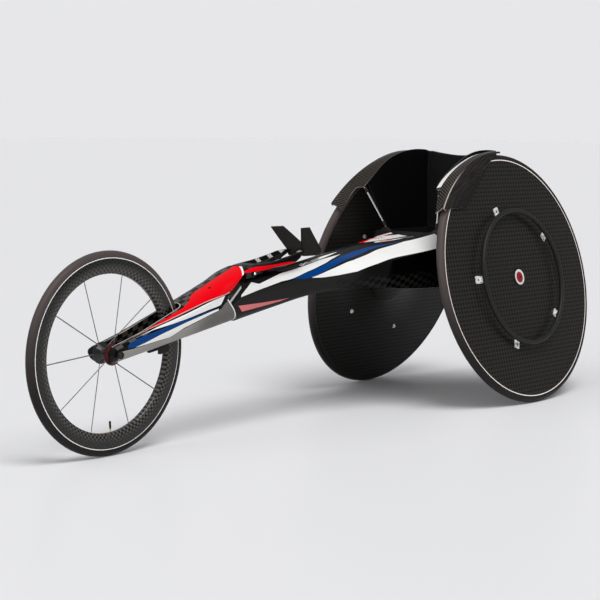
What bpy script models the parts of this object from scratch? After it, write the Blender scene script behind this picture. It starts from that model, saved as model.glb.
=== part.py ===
"""Three-wheeled racing wheelchair with a moulded carbon frame.

The rider faces -Y and +X is the chair's left. The origin is the middle of the footprint, on the
ground. Two cambered disc wheels carry the seat, and a third wheel turns in a long slotted fork
that is steered about a slanted head.
"""
import math

import bmesh
import bpy
from mathutils import Matrix, Vector

# Wheels and stance
REAR_WHEEL_R = 0.335
FRONT_WHEEL_R = 0.229
WHEELBASE = 1.280
CAMBER = math.radians(12.8)
HUB_HALF_TRACK = 0.216
REAR_TYRE_R = 0.011
FRONT_TYRE_R = 0.0105
WHEEL_STEPS = 48
HUB_STEPS = 20
BEARING_STEPS = 16

# Height of the cambered hub at which the tyre's lowest facet meets the ground
WHEEL_LOWEST = REAR_WHEEL_R - REAR_TYRE_R + REAR_TYRE_R * math.cos(CAMBER)
WHEEL_FACET = math.cos(math.pi / WHEEL_STEPS)
REAR_HUB_Z = WHEEL_LOWEST * WHEEL_FACET * math.cos(CAMBER) + REAR_TYRE_R * math.sin(CAMBER) ** 2

# Clearances
GAP = 0.0003
SLIVER = 0.00003
RUNNING_GAP = 0.001

# Rear wheel, measured along the axle from the wheel's middle plane, outward positive
DISC_HALF_WIDTH = 0.0105
DISC_BOSS_R = 0.098
DISC_BOSS_DEPTH = 0.007
HUB_R = 0.024
HUB_FACE_R = 0.0225
HUB_OUTER_END = 0.0145
HUB_INNER_END = -0.030
BEARING_R = 0.0145
BEARING_WIDTH = 0.008
BEARING_INSET = 0.0015
BEARING_DISH = 0.0006
AXLE_R = 0.0062
AXLE_HEAD_R = 0.0138
AXLE_HEAD_PROUD = 0.001
AXLE_REACH = 0.085
BUTTON_R = 0.0038
BUTTON_LENGTH = 0.018
BUTTON_TRAVEL = 0.003

# Push ring
RING_R = 0.1785
RING_TUBE_R = 0.0065
RING_STANDOFF = 0.0275
TAB_COUNT = 5
TAB_R = 0.186
TAB_WIDTH = 0.020
TAB_LENGTH = 0.024
TAB_HOLE_R = 0.004
TAB_THICKNESS = 0.002
TAB_POST_WIDTH = 0.012
TAB_POST_DEPTH = 0.004
TAB_PHASE = math.radians(16.6)

# Front wheel
FRONT_RIM_INNER_R = 0.177
FRONT_RIM_HALF_WIDTH = 0.0115
FRONT_RIM_SHOULDER = 0.0098
SPOKE_COUNT = 10
SPOKE_PHASE = math.radians(20.9)
SPOKE_WIDTH = 0.0026
SPOKE_THICKNESS = 0.0014
FRONT_FLANGE_R = 0.025
FRONT_FLANGE_X = 0.0175
FRONT_FLANGE_WIDTH = 0.004
FRONT_HUB_HALF = 0.0222
FRONT_HUB_BARREL_R = 0.012
FRONT_HUB_FACE_R = 0.016
FRONT_AXLE_R = 0.005
FRONT_BEARING_R = 0.011
FRONT_BEARING_WIDTH = 0.006
VALVE_R = 0.0025
VALVE_LENGTH = 0.024
VALVE_ANGLE = math.radians(183.0)

# Steering head: the pin leans back by this much from the vertical
HEAD_ANGLE = math.radians(48.7)
HEAD_CENTRE = Vector((0.0, -0.270, 0.350))
HEAD_BOTTOM = -0.0750
HEAD_TOP = 0.0
NOSE_R = 0.0450
FORK_BACK = -0.047
HEAD_TUBE_R = 0.018
HEAD_TUBE_WALL = 0.003
HEAD_BEARING_WIDTH = 0.008
STEERING_PIN_R = 0.0095
STEERING_PIN_LOW = -0.112
STEERING_PIN_GRIP = 0.045

# Fork: a wedge between two straight lines in side view
FORK_TOP_AT_AXLE = 0.2400
FORK_TOP_SLOPE = 0.389
FORK_CREASE_AT_AXLE = 0.2442
FORK_CREASE_SLOPE = 0.285
FORK_BOTTOM_AT_AXLE = 0.2040
FORK_BOTTOM_SLOPE = 0.168
FORK_TIP_REACH = 0.017
FORK_TIP_HALF_WIDTH = 0.041
FORK_HALF_WIDTH = 0.0455
FORK_SLOT_HALF = 0.0228
FORK_SLOT_CLEARANCE = 0.016
FORK_REAR_REACH = 0.42
FORK_CREST = 0.004
FORK_EDGE_WIDTH = 0.002
FORK_EDGE_DROP = 0.0025
FORK_BELT_RUN = 0.30
FORK_BELT_FRONT = 0.70
FORK_BELT_REAR = 0.57

# Front brake
SHOE_BEHIND_AXLE = 0.158
SHOE_LENGTH = 0.028
SHOE_DEPTH = 0.009
SHOE_RIM_GAP = 0.0015
SHOE_ARM_WIDTH = 0.012
SHOE_ARM_THICKNESS = 0.0035
SHOE_ARM_RISE = 0.022

# Camber tube: level between two bends, then in line with each axle
CAMBER_TUBE_R = 0.015
CAMBER_TUBE_BEND = 0.160
CAMBER_TUBE_Z = REAR_HUB_Z - (HUB_HALF_TRACK - CAMBER_TUBE_BEND) * math.tan(CAMBER)

# Seat heights, from the camber tube that carries the tub
TUB_FLOOR_COVER = 0.02147
TUB_DEPTH = 0.099
TUB_UNDER = 0.0445
TUB_FLOOR_Z = CAMBER_TUBE_Z + CAMBER_TUBE_R + TUB_FLOOR_COVER
LIP_Z = TUB_FLOOR_Z + TUB_DEPTH
KEEL_REAR_Z = TUB_FLOOR_Z - TUB_UNDER

# Frame: y, ridge height, top edge half width and height, chine half width and height,
# keel half width and height
FRAME_NOSE_Y = -0.370
LIP_Y = 0.404
LIP_HALF_WIDTH = 0.080
BEAM_HALF_WIDTH = 0.045
FRAME_ROUND_UNTIL_Y = -0.05
FRAME_FLAT_FROM_Y = 0.28
FRAME_STATIONS = (
    (FRAME_NOSE_Y, 0.3720, 0.024, 0.3660, BEAM_HALF_WIDTH, 0.318, 0.020, 0.2580),
    (-0.150, 0.3850, 0.022, 0.3790, BEAM_HALF_WIDTH, 0.338, 0.020, 0.2935),
    (-0.044, 0.3960, 0.019, 0.3905, 0.050, 0.350, 0.024, 0.3100),
    (0.025, 0.4065, 0.016, 0.4020, 0.070, 0.359, 0.050, 0.3200),
    (0.070, 0.4120, 0.012, 0.4090, 0.090, 0.370, 0.080, 0.3240),
    (0.140, 0.4205, 0.007, 0.4195, 0.105, 0.383, 0.107, 0.3225),
    (0.190, 0.4280, 0.010, 0.4290, 0.113, 0.392, 0.113, 0.3175),
    (0.305, LIP_Z - 0.0170, 0.040, LIP_Z - 0.0115, 0.122, LIP_Z - 0.043, 0.115, KEEL_REAR_Z + 0.0035),
    (LIP_Y, LIP_Z - 0.0120, LIP_HALF_WIDTH, LIP_Z, 0.128, LIP_Z - 0.031, 0.116, KEEL_REAR_Z),
)

# Yoke and grips
YOKE_HALF_WIDTH = 0.046
YOKE_FRONT = -0.0455
YOKE_FRONT_Y = -0.330
YOKE_REAR_Y = -0.010
YOKE_TOP = 0.4090
YOKE_TOP_Y = -0.232
YOKE_SLOPE = 0.140
YOKE_DEEP = 0.036
YOKE_THIN = 0.014
YOKE_THIN_FROM_Y = -0.225
YOKE_THIN_Y = -0.120
YOKE_DROOP = 0.020
YOKE_DROOP_FROM_Y = -0.100
YOKE_WALL = 0.005
YOKE_OVER_FRAME = 0.008
YOKE_TUNNEL_BELT = 0.028
YOKE_TUNNEL_FLOOR = 0.300
YOKE_NOTCH_Y = -0.115
YOKE_CLAMP_R = 0.028
GRIP_HEIGHT = 0.056
GRIP_CHORD = 0.066
GRIP_TIP_CHORD = 0.029
GRIP_THICKNESS = 0.012
GRIP_BASE = (0.022, -0.022)
GRIP_TIP = (0.050, -0.080)

# Seat tub
TUB_REAR_Y = 0.640
TUB_HALF_WIDTH = 0.122
TUB_MOUTH_HALF_WIDTH = 0.082
TUB_PINCH = 0.08
TUB_RIM_WIDTH = 0.014
TUB_RIM_FRONT_HALF = 0.118
TUB_RIM_REAR_HALF = 0.124
TUB_CHINE_REAR_Z = LIP_Z - 0.049
TUB_BOTTOM_Z = KEEL_REAR_Z
TUB_TOP_Z = LIP_Z
TUB_WALL = 0.006
CUSHION_THICKNESS = 0.030

# Guards over the wheels, in each wheel's own polar frame
GUARD_TYRE_GAP = 0.0105
GUARD_R = REAR_WHEEL_R + GUARD_TYRE_GAP
GUARD_WALL = 0.002
GUARD_LIP_H = -0.020
GUARD_CORNER_H = -0.039
GUARD_INNER_H = -0.021
GUARD_OUTER_H = 0.0165
GUARD_START = math.radians(34.0)
GUARD_CORNER = math.radians(48.0)
GUARD_END = math.radians(91.0)
GUARD_FLANGE_DEPTH = 0.073
GUARD_FRONT_HEIGHT = 0.194
GUARD_FLARE = 0.013
PANEL_THICKNESS = 0.003
PANEL_RISE = 0.008
PANEL_END = math.radians(97.0)
BACKREST_THICKNESS = 0.005
BACKREST_SAG = 0.014
STRUT_R = 0.003
BRACKET_THICKNESS = 0.004


def clear_scene():
    for thing in list(bpy.data.objects):
        bpy.data.objects.remove(thing, do_unlink=True)


def make_material(name, colour, roughness, metallic=0.0):
    material = bpy.data.materials.new(name)
    material.use_nodes = True
    shader = material.node_tree.nodes["Principled BSDF"]
    shader.inputs["Base Color"].default_value = (*colour, 1.0)
    shader.inputs["Roughness"].default_value = roughness
    shader.inputs["Metallic"].default_value = metallic
    return material


def add_object(name, mesh, material, location=(0, 0, 0), parent=None, smooth=40):
    """Link a mesh as one named piece; the location is in its parent's frame."""
    mesh.materials.clear()
    mesh.materials.append(material)
    piece = bpy.data.objects.new(name, mesh)
    bpy.context.scene.collection.objects.link(piece)
    piece.location = location
    piece.parent = parent
    mesh.shade_smooth()
    mesh.set_sharp_from_angle(angle=math.radians(smooth))
    return piece


def to_mesh(bm, name):
    bmesh.ops.recalc_face_normals(bm, faces=bm.faces)
    mesh = bpy.data.meshes.new(name)
    bm.to_mesh(mesh)
    bm.free()
    return mesh


def add_empty(name, location, matrix=None):
    empty = bpy.data.objects.new(name, None)
    bpy.context.scene.collection.objects.link(empty)
    empty.matrix_world = Matrix.Translation(location) @ (matrix or Matrix.Identity(4))
    return empty


def revolve(profile, steps, axis=(1, 0, 0), phase=0.5):
    """Turn a closed outline of (along, radius) points about the axis into one ring-shaped body."""
    axis = Vector(axis)
    across = axis.orthogonal().normalized()
    across = Matrix.Rotation(phase * 2 * math.pi / steps, 4, axis) @ across
    bm = bmesh.new()
    verts = [bm.verts.new(axis * along + across * radius) for along, radius in profile]
    ring = [bm.edges.new((a, b)) for a, b in zip(verts, verts[1:] + verts[:1])]
    bmesh.ops.spin(bm, geom=verts + ring, cent=(0, 0, 0), axis=axis, angle=2 * math.pi,
                   steps=steps, use_merge=True)
    bmesh.ops.remove_doubles(bm, verts=bm.verts, dist=1e-6)
    return bm


def revolve_solid(profile, steps, axis=(1, 0, 0)):
    """Turn an open outline whose ends lie on the axis; the poles are merged to points."""
    axis = Vector(axis)
    across = axis.orthogonal().normalized()
    bm = bmesh.new()
    verts = [bm.verts.new(axis * along + across * radius) for along, radius in profile]
    edges = [bm.edges.new((a, b)) for a, b in zip(verts, verts[1:])]
    bmesh.ops.spin(bm, geom=verts + edges, cent=(0, 0, 0), axis=axis, angle=2 * math.pi,
                   steps=steps, use_merge=True)
    bmesh.ops.remove_doubles(bm, verts=bm.verts, dist=1e-6)
    return bm


def circle_profile(radius, tube, steps, phase=0.0):
    turns = [2 * math.pi * (i / steps) + phase for i in range(steps)]
    return [(tube * math.sin(t), radius + tube * math.cos(t)) for t in turns]


def loft(rings, split=False):
    """Skin a run of rings, each with the same number of points, and cap both ends."""
    bm = bmesh.new()
    loops = [[bm.verts.new(point) for point in ring] for ring in rings]
    for near, far in zip(loops, loops[1:]):
        for i in range(len(near)):
            j = (i + 1) % len(near)
            bm.faces.new((near[i], near[j], far[j], far[i]))
    if split:
        bmesh.ops.triangulate(bm, faces=bm.faces)
    bm.faces.new(loops[0])
    bm.faces.new(reversed(loops[-1]))
    return bm


def slab(outline, low, high, bevel=0.0):
    """Extrude a closed (x, y) outline from one height to another, with softened edges."""
    bm = bmesh.new()
    base = bm.faces.new([bm.verts.new((x, y, low)) for x, y in outline])
    lifted = bmesh.ops.extrude_face_region(bm, geom=[base])
    verts = [v for v in lifted["geom"] if isinstance(v, bmesh.types.BMVert)]
    bmesh.ops.translate(bm, verts=verts, vec=(0, 0, high - low))
    bmesh.ops.recalc_face_normals(bm, faces=bm.faces)
    if bevel > 0.0:
        sharp = [e for e in bm.edges if e.calc_face_angle(0.0) > math.radians(50)]
        bmesh.ops.bevel(bm, geom=sharp, offset=bevel, segments=1, affect="EDGES", profile=0.5,
                        material=-1)
    return bm


def transform(bm, matrix):
    bmesh.ops.transform(bm, matrix=matrix, verts=bm.verts)
    return bm


def box(low, high):
    size = Vector(high) - Vector(low)
    middle = (Vector(high) + Vector(low)) / 2
    bm = bmesh.new()
    bmesh.ops.create_cube(bm, size=1.0, matrix=Matrix.Translation(middle) @ Matrix.Diagonal((*size, 1)))
    return bm


def rod(radius, start, end, steps=16):
    """A straight round bar between two points."""
    start = Vector(start)
    span = Vector(end) - start
    turn = Vector((0, 0, 1)).rotation_difference(span).to_matrix().to_4x4()
    bm = bmesh.new()
    bmesh.ops.create_cone(bm, cap_ends=True, segments=steps, radius1=radius, radius2=radius,
                          depth=span.length,
                          matrix=Matrix.Translation(start + span / 2) @ turn)
    return bm


def boolean(target, tool_bm, operation="DIFFERENCE"):
    """Apply a cut or a join to an object with a temporary tool body, then drop the tool."""
    mesh = to_mesh(tool_bm, target.name + "_tool")
    tool = bpy.data.objects.new(target.name + "_tool", mesh)
    bpy.context.scene.collection.objects.link(tool)
    bpy.context.view_layer.update()
    tool.matrix_world = target.matrix_world
    bpy.context.view_layer.update()
    modifier = target.modifiers.new("boolean", "BOOLEAN")
    modifier.operation = operation
    modifier.solver = "EXACT"
    modifier.object = tool
    depsgraph = bpy.context.evaluated_depsgraph_get()
    result = bpy.data.meshes.new_from_object(target.evaluated_get(depsgraph))
    clean = bmesh.new()
    clean.from_mesh(result)
    bmesh.ops.remove_doubles(clean, verts=clean.verts, dist=SLIVER)
    bmesh.ops.dissolve_degenerate(clean, edges=clean.edges, dist=SLIVER)
    clean.to_mesh(result)
    clean.free()
    target.modifiers.clear()
    old = target.data
    target.data = result
    bpy.data.meshes.remove(old)
    bpy.data.objects.remove(tool, do_unlink=True)
    return target


def tyre_seat(tyre_centre, tyre_r, half_width):
    """Hollow of a tubular tyre's seat, wide enough that its flats stay off the tyre."""
    reach = math.radians(62.0)
    steps = 4
    seat = (tyre_r + GAP) / math.cos(reach / steps)
    turns = [reach * (2 * k / steps - 1) for k in range(1, steps)]
    hollow = [(seat * math.sin(t), tyre_centre - seat * math.cos(t)) for t in turns]
    edge = tyre_centre - math.sqrt(seat ** 2 - half_width ** 2)
    return [(-half_width, edge)] + hollow + [(half_width, edge)]


def axle_positions():
    """Front and rear axle places that centre the whole length on the origin."""
    middle = (REAR_WHEEL_R - FRONT_WHEEL_R) / 2
    return -WHEELBASE / 2 - middle, WHEELBASE / 2 - middle


FRONT_AXLE_Y, REAR_AXLE_Y = axle_positions()
FRONT_AXLE = Vector((0.0, FRONT_AXLE_Y, FRONT_WHEEL_R * math.cos(math.pi / WHEEL_STEPS)))
HEAD_AXIS = Vector((0.0, math.sin(HEAD_ANGLE), math.cos(HEAD_ANGLE)))
HEAD_BACK = Vector((0.0, math.cos(HEAD_ANGLE), -math.sin(HEAD_ANGLE)))


def head_matrix():
    """Frame of the steering head: local Z up the pin, local Y back and down, local X left."""
    turn = Matrix((Vector((1, 0, 0)), HEAD_BACK, HEAD_AXIS)).transposed().to_4x4()
    return Matrix.Translation(HEAD_CENTRE) @ turn


def wheel_matrix(side):
    """Frame of a rear wheel: local X outward along the axle, local Z up in the wheel's plane."""
    turn = Matrix.Rotation(0.0 if side > 0 else math.pi, 4, "Z") @ Matrix.Rotation(-CAMBER, 4, "Y")
    return Matrix.Translation((side * HUB_HALF_TRACK, REAR_AXLE_Y, REAR_HUB_Z)) @ turn


def wheel_point(side, h, radius, angle):
    """A point of the wheel's polar frame; the angle runs from straight ahead up to the top."""
    forward = -1.0 if side > 0 else 1.0
    local = Vector((h, forward * radius * math.cos(angle), radius * math.sin(angle)))
    return wheel_matrix(side) @ local


# Rear wheels

def build_rear_wheel(side, label, materials):
    centre = wheel_matrix(side)
    hub_axis = add_empty("wheel_%s_axis" % label, centre.translation, centre.to_3x3().to_4x4())

    def place(name, bm, material):
        return add_object("%s_%s" % (name, label), to_mesh(bm, name), material, parent=hub_axis)

    tyre_centre = REAR_WHEEL_R - REAR_TYRE_R
    tyre = revolve(circle_profile(tyre_centre, REAR_TYRE_R, 8, -CAMBER), WHEEL_STEPS)
    place("rear_tyre", tyre, materials["tyre"])
    place("wheel_disc", build_disc(tyre_centre), materials["carbon"])
    place("rear_hub", build_rear_hub(), materials["silver"])
    outer = HUB_OUTER_END - BEARING_INSET - BEARING_WIDTH
    inner = HUB_INNER_END
    for where, start in (("outer", outer), ("inner", inner)):
        place("rear_bearing_" + where, build_bearing(start, AXLE_R, BEARING_R, BEARING_WIDTH),
              materials["steel"])
    push_ring = place("push_ring", build_ring(), materials["rubber"])
    for i in range(TAB_COUNT):
        boolean(push_ring, build_tab(TAB_PHASE + i * 2 * math.pi / TAB_COUNT), "UNION")
    return hub_axis


def build_disc(tyre_centre):
    """Flat carbon disc with a hollowed edge for the tubular tyre and a thicker inner boss."""
    bore = HUB_R + GAP
    boss = -DISC_HALF_WIDTH - DISC_BOSS_DEPTH
    profile = tyre_seat(tyre_centre, REAR_TYRE_R, DISC_HALF_WIDTH) + [
        (DISC_HALF_WIDTH, bore),
        (boss, bore),
        (boss, DISC_BOSS_R - DISC_BOSS_DEPTH),
        (-DISC_HALF_WIDTH, DISC_BOSS_R),
    ]
    return revolve(profile, WHEEL_STEPS)


def build_rear_hub():
    """Turned hub barrel with a bearing pocket at each end."""
    pocket = BEARING_R + GAP
    waist = AXLE_R + 0.002
    outer_floor = HUB_OUTER_END - BEARING_INSET - BEARING_WIDTH - GAP
    inner_floor = HUB_INNER_END + BEARING_WIDTH + GAP
    profile = [
        (HUB_INNER_END, HUB_R - 0.003),
        (HUB_INNER_END + 0.006, HUB_R),
        (DISC_HALF_WIDTH, HUB_R),
        (HUB_OUTER_END, HUB_FACE_R),
        (HUB_OUTER_END, pocket),
        (outer_floor, pocket),
        (outer_floor, waist),
        (inner_floor, waist),
        (inner_floor, pocket),
        (HUB_INNER_END, pocket),
    ]
    return revolve(profile, HUB_STEPS)


def build_bearing(start, inner, outer, width):
    """A ball race shown as one ring with a dished shield in each face."""
    bore = inner + GAP
    middle = (bore + outer) / 2
    end = start + width
    profile = [(start, bore), (start + BEARING_DISH, middle), (start, outer), (end, outer),
               (end - BEARING_DISH, middle), (end, bore)]
    return revolve(profile, BEARING_STEPS)


def build_ring():
    bm = revolve(circle_profile(RING_R, RING_TUBE_R, 8), WHEEL_STEPS)
    return transform(bm, Matrix.Translation((RING_STANDOFF, 0, 0)))


def build_tab(angle):
    """Welded foot of the push ring: a drilled plate on the disc with a post up to the ring."""
    foot = DISC_HALF_WIDTH + GAP
    half = TAB_WIDTH / 2
    plate = box((foot, -half, TAB_R - TAB_LENGTH / 2),
                (foot + TAB_THICKNESS, half, TAB_R + TAB_LENGTH / 2))
    post = box((foot + TAB_THICKNESS / 2, -TAB_POST_WIDTH / 2, RING_R - TAB_POST_DEPTH / 2),
               (RING_STANDOFF, TAB_POST_WIDTH / 2, RING_R + TAB_POST_DEPTH / 2))
    hole_r = RING_R + TAB_POST_DEPTH / 2 + TAB_HOLE_R + 0.003
    hole = rod(TAB_HOLE_R, (0, 0, hole_r), (foot + 0.02, 0, hole_r), 12)
    tab = join_bodies(plate, post, drill=hole)
    return transform(tab, Matrix.Rotation(angle, 4, "X"))


def join_bodies(*bodies, drill=None):
    """Boolean union of small bodies, with an optional hole, returned as one bmesh."""
    first = bpy.data.objects.new("join", to_mesh(bodies[0], "join"))
    bpy.context.scene.collection.objects.link(first)
    for body in bodies[1:]:
        boolean(first, body, "UNION")
    if drill is not None:
        boolean(first, drill)
    result = bmesh.new()
    result.from_mesh(first.data)
    bpy.data.objects.remove(first, do_unlink=True)
    return result


def build_axle(side, label, materials, hub_axis_matrix):
    """Quick-release axle: fixed to the frame, with its release button in the head."""
    axis = add_empty("axle_%s_frame" % label, hub_axis_matrix.translation,
                     hub_axis_matrix.to_3x3().to_4x4())
    face = HUB_OUTER_END - BEARING_INSET + GAP
    tip = HUB_OUTER_END + AXLE_HEAD_PROUD
    floor = tip - BUTTON_LENGTH - BUTTON_TRAVEL - RUNNING_GAP
    bore = BUTTON_R + GAP
    profile = [(-AXLE_REACH, 0.0), (-AXLE_REACH, AXLE_R - 0.001), (-AXLE_REACH + 0.001, AXLE_R),
               (face, AXLE_R), (face, AXLE_HEAD_R), (tip - 0.0005, AXLE_HEAD_R),
               (tip, AXLE_HEAD_R - 0.001), (tip, bore), (floor, bore), (floor, 0.0)]
    add_object("axle_" + label, to_mesh(revolve_solid(profile, HUB_STEPS), "axle"), materials["red"],
               parent=axis)
    start = tip - BUTTON_LENGTH
    button = [(start, 0.0), (start, BUTTON_R), (tip - 0.0005, BUTTON_R), (tip, BUTTON_R - 0.0006),
              (tip, 0.0)]
    add_object("axle_button_" + label, to_mesh(revolve_solid(button, 16), "button"),
               materials["dark"], parent=axis)


# Front wheel

def build_front_wheel(materials):
    axis = add_empty("front_wheel_axis", FRONT_AXLE)

    def place(name, bm, material):
        return add_object(name, to_mesh(bm, name), material, parent=axis)

    tyre_centre = FRONT_WHEEL_R - FRONT_TYRE_R
    place("front_tyre", revolve(circle_profile(tyre_centre, FRONT_TYRE_R, 8), WHEEL_STEPS),
          materials["tyre"])
    place("front_rim", build_front_rim(tyre_centre), materials["carbon"])
    place("front_hub", build_front_hub(), materials["dark"])
    for side, label in ((1, "left"), (-1, "right")):
        start = FRONT_HUB_HALF - GAP - FRONT_BEARING_WIDTH
        bearing = build_bearing(start, FRONT_AXLE_R, FRONT_BEARING_R, FRONT_BEARING_WIDTH)
        if side < 0:
            transform(bearing, Matrix.Rotation(math.pi, 4, "Z"))
        place("front_bearing_" + label, bearing, materials["steel"])
    for i in range(SPOKE_COUNT):
        side = -1 if i % 2 == 0 else 1
        place("spoke_%02d" % (i + 1), build_spoke(i, side), materials["steel"])
    place("valve", build_valve(), materials["brass"])


def build_front_rim(tyre_centre):
    """Deep U-section rim: a tyre groove outside, bulged sides and a blunt nose inside."""
    groove = tyre_seat(tyre_centre, FRONT_TYRE_R, FRONT_RIM_SHOULDER)
    middle = FRONT_RIM_INNER_R + 0.020
    flank = [(FRONT_RIM_HALF_WIDTH, middle), (FRONT_RIM_HALF_WIDTH - 0.003, FRONT_RIM_INNER_R + 0.006),
             (0.0045, FRONT_RIM_INNER_R)]
    mirrored = [(-x, r) for x, r in reversed(flank)]
    return revolve(groove + flank + mirrored, WHEEL_STEPS)


def build_front_hub():
    """Hub shell with two spoke flanges, a waist between them and a bearing pocket at each end."""
    pocket = FRONT_BEARING_R + GAP
    pocket_floor = FRONT_HUB_HALF - FRONT_BEARING_WIDTH - 2 * GAP
    inside = FRONT_FLANGE_X - FRONT_FLANGE_WIDTH / 2
    outside = FRONT_FLANGE_X + FRONT_FLANGE_WIDTH / 2
    half = [
        (0.0, FRONT_HUB_BARREL_R), (inside - 0.009, FRONT_HUB_BARREL_R + 0.001),
        (inside - 0.001, FRONT_FLANGE_R - 0.003), (inside + 0.001, FRONT_FLANGE_R),
        (outside, FRONT_FLANGE_R), (outside + 0.0005, FRONT_HUB_FACE_R + 0.003),
        (FRONT_HUB_HALF, FRONT_HUB_FACE_R), (FRONT_HUB_HALF, pocket), (pocket_floor, pocket),
        (pocket_floor, FRONT_AXLE_R + 0.002),
    ]
    mirrored = [(-x, r) for x, r in reversed(half[1:])]
    return revolve(mirrored + half, HUB_STEPS)


def build_spoke(index, side):
    """Flat bladed spoke from one flange to the rim, straight out from the axle."""
    angle = SPOKE_PHASE + index * 2 * math.pi / SPOKE_COUNT
    start = Vector((side * (FRONT_FLANGE_X - FRONT_FLANGE_WIDTH / 4), 0, FRONT_FLANGE_R + GAP))
    end = Vector((side * 0.002, 0, rim_inside() - GAP))
    rings = []
    for place, width in ((0.0, 0.7), (0.06, 1.0), (0.94, 1.0), (1.0, 0.7)):
        middle = start.lerp(end, place)
        half_width = SPOKE_WIDTH * width / 2
        half_depth = SPOKE_THICKNESS * width / 2
        ring = []
        for k in range(6):
            turn = 2 * math.pi * k / 6
            ring.append(middle + Vector((half_depth * math.sin(turn), half_width * math.cos(turn), 0)))
        rings.append(ring)
    return transform(loft(rings), Matrix.Rotation(angle, 4, "X"))


def rim_inside():
    """Clear radius inside the rim's flats."""
    return FRONT_RIM_INNER_R * math.cos(math.pi / WHEEL_STEPS)


def build_valve():
    root = rim_inside() - GAP
    tip = root - VALVE_LENGTH
    profile = [(tip, 0.0), (tip, VALVE_R * 0.8), (tip + 0.001, VALVE_R), (root - 0.010, VALVE_R),
               (root - 0.009, VALVE_R * 0.75), (root - 0.002, VALVE_R * 0.75), (root - 0.002, VALVE_R),
               (root, VALVE_R), (root, 0.0)]
    bm = revolve_solid(profile, 10, axis=(0, 0, 1))
    return transform(bm, Matrix.Rotation(VALVE_ANGLE, 4, "X"))


# Fork and steering

def fork_levels(y):
    """Heights of the fork at one place: crown, side crease, belt line and underside."""
    run = y - FRONT_AXLE_Y
    crease = FORK_CREASE_AT_AXLE + FORK_CREASE_SLOPE * run
    crown = max(crease + FORK_CREST, FORK_TOP_AT_AXLE + FORK_TOP_SLOPE * run)
    bottom = FORK_BOTTOM_AT_AXLE + FORK_BOTTOM_SLOPE * run
    belt_share = blend(FORK_BELT_FRONT, FORK_BELT_REAR, ease(run, 0.0, FORK_BELT_RUN))
    return crown, crease, bottom + (crease - bottom) * belt_share, bottom


def fork_ring(y, half_width):
    """Section of the fork: crowned top, creased flat flank and a round underside."""
    crown, crease, belt, bottom = fork_levels(y)
    inset = half_width - FORK_EDGE_WIDTH
    half = []
    for k in range(5):
        t = k / 5
        across = 2 * t * (1 - t) * 0.95 * inset + t * t * inset
        half.append(Vector((across, y, crown * (1 - t * t) + crease * t * t)))
    half.append(Vector((inset, y, crease)))
    half.append(Vector((half_width, y, crease - FORK_EDGE_DROP)))
    half.append(Vector((half_width, y, (crease + belt) / 2)))
    for k in range(7):
        turn = 0.5 * math.pi * k / 6
        half.append(Vector((half_width * math.cos(turn), y, belt - (belt - bottom) * math.sin(turn))))
    mirrored = [Vector((-p.x, p.y, p.z)) for p in reversed(half[1:-1])]
    return half + mirrored


def oval_ring(y, half_width, top, bottom, belt, upper, lower, steps=7):
    """Cross-section of two superellipse halves that meet at the belt height."""
    points = []
    for k in range(4 * steps):
        turn = 2 * math.pi * k / (4 * steps)
        across = math.sin(turn)
        rise = math.cos(turn)
        power = 2.0 / (upper if rise > 0 else lower)
        x = half_width * math.copysign(abs(across) ** power, across)
        height = (top - belt) if rise > 0 else (belt - bottom)
        z = belt + height * math.copysign(abs(rise) ** power, rise)
        points.append(Vector((x, y, z)))
    return points


def build_fork(materials, origin):
    rings = []
    stations = 12
    start = FRONT_AXLE_Y - FORK_TIP_REACH
    for k in range(stations + 1):
        y = start + (FORK_REAR_REACH + FORK_TIP_REACH) * k / stations
        share = ease(y, FRONT_AXLE_Y + 0.015, FRONT_AXLE_Y + 0.15)
        rings.append(fork_ring(y, blend(FORK_TIP_HALF_WIDTH, FORK_HALF_WIDTH, share)))
    bm = transform(loft(rings, split=True), Matrix.Translation(-origin))
    fork = add_object("fork", to_mesh(bm, "fork"), materials["red"], location=origin)
    to_local = Matrix.Translation(-origin)
    boolean(fork, transform(tip_trim(), to_local))
    boolean(fork, transform(slot_cutter(), to_local))
    boolean(fork, transform(head_notch(), to_local))
    boolean(fork, transform(axle_hole(), to_local))
    boolean(fork, transform(pin_hole(), to_local))
    return fork


def tip_trim():
    """Everything in front of the rounded fork ends."""
    crown, crease, belt, bottom = fork_levels(FRONT_AXLE_Y)
    radius = (crown - bottom) / 2 + 0.0015
    centre = Vector((0, FRONT_AXLE_Y + radius - FORK_TIP_REACH, (crown + bottom) / 2))
    reach = 0.08
    arc = [Vector((-reach, -radius * math.sin(math.pi * k / 12), -radius * math.cos(math.pi * k / 12)))
           for k in range(13)]
    frame = [Vector((-reach, 0, reach)), Vector((-reach, -reach, reach)),
             Vector((-reach, -reach, -reach)), Vector((-reach, 0, -reach))]
    bm = bmesh.new()
    face = bm.faces.new([bm.verts.new(p + centre) for p in arc + frame])
    lifted = bmesh.ops.extrude_face_region(bm, geom=[face])
    moved = [v for v in lifted["geom"] if isinstance(v, bmesh.types.BMVert)]
    bmesh.ops.translate(bm, verts=moved, vec=(2 * reach, 0, 0))
    return bm


def slot_cutter():
    """Wheel slot, open at the front, with a round end behind the tyre."""
    end = FRONT_AXLE_Y + FRONT_WHEEL_R + FORK_SLOT_CLEARANCE
    radius = FORK_SLOT_HALF
    outline = [(-radius, FRONT_AXLE_Y - 0.1), (radius, FRONT_AXLE_Y - 0.1)]
    outline += [(radius * math.cos(math.pi * k / 8), end - radius + radius * math.sin(math.pi * k / 8))
                for k in range(9)]
    return slab(outline, 0.0, 0.6)


def head_notch():
    """Space of the frame's nose and the yoke, behind and above the fork's crown."""
    bm = box((-0.2, FORK_BACK, HEAD_BOTTOM - RUNNING_GAP), (0.2, 0.3, 0.4))
    return transform(bm, head_matrix())


def axle_hole():
    return rod(FRONT_AXLE_R + GAP, FRONT_AXLE - Vector((0.1, 0, 0)), FRONT_AXLE + Vector((0.1, 0, 0)))


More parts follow.
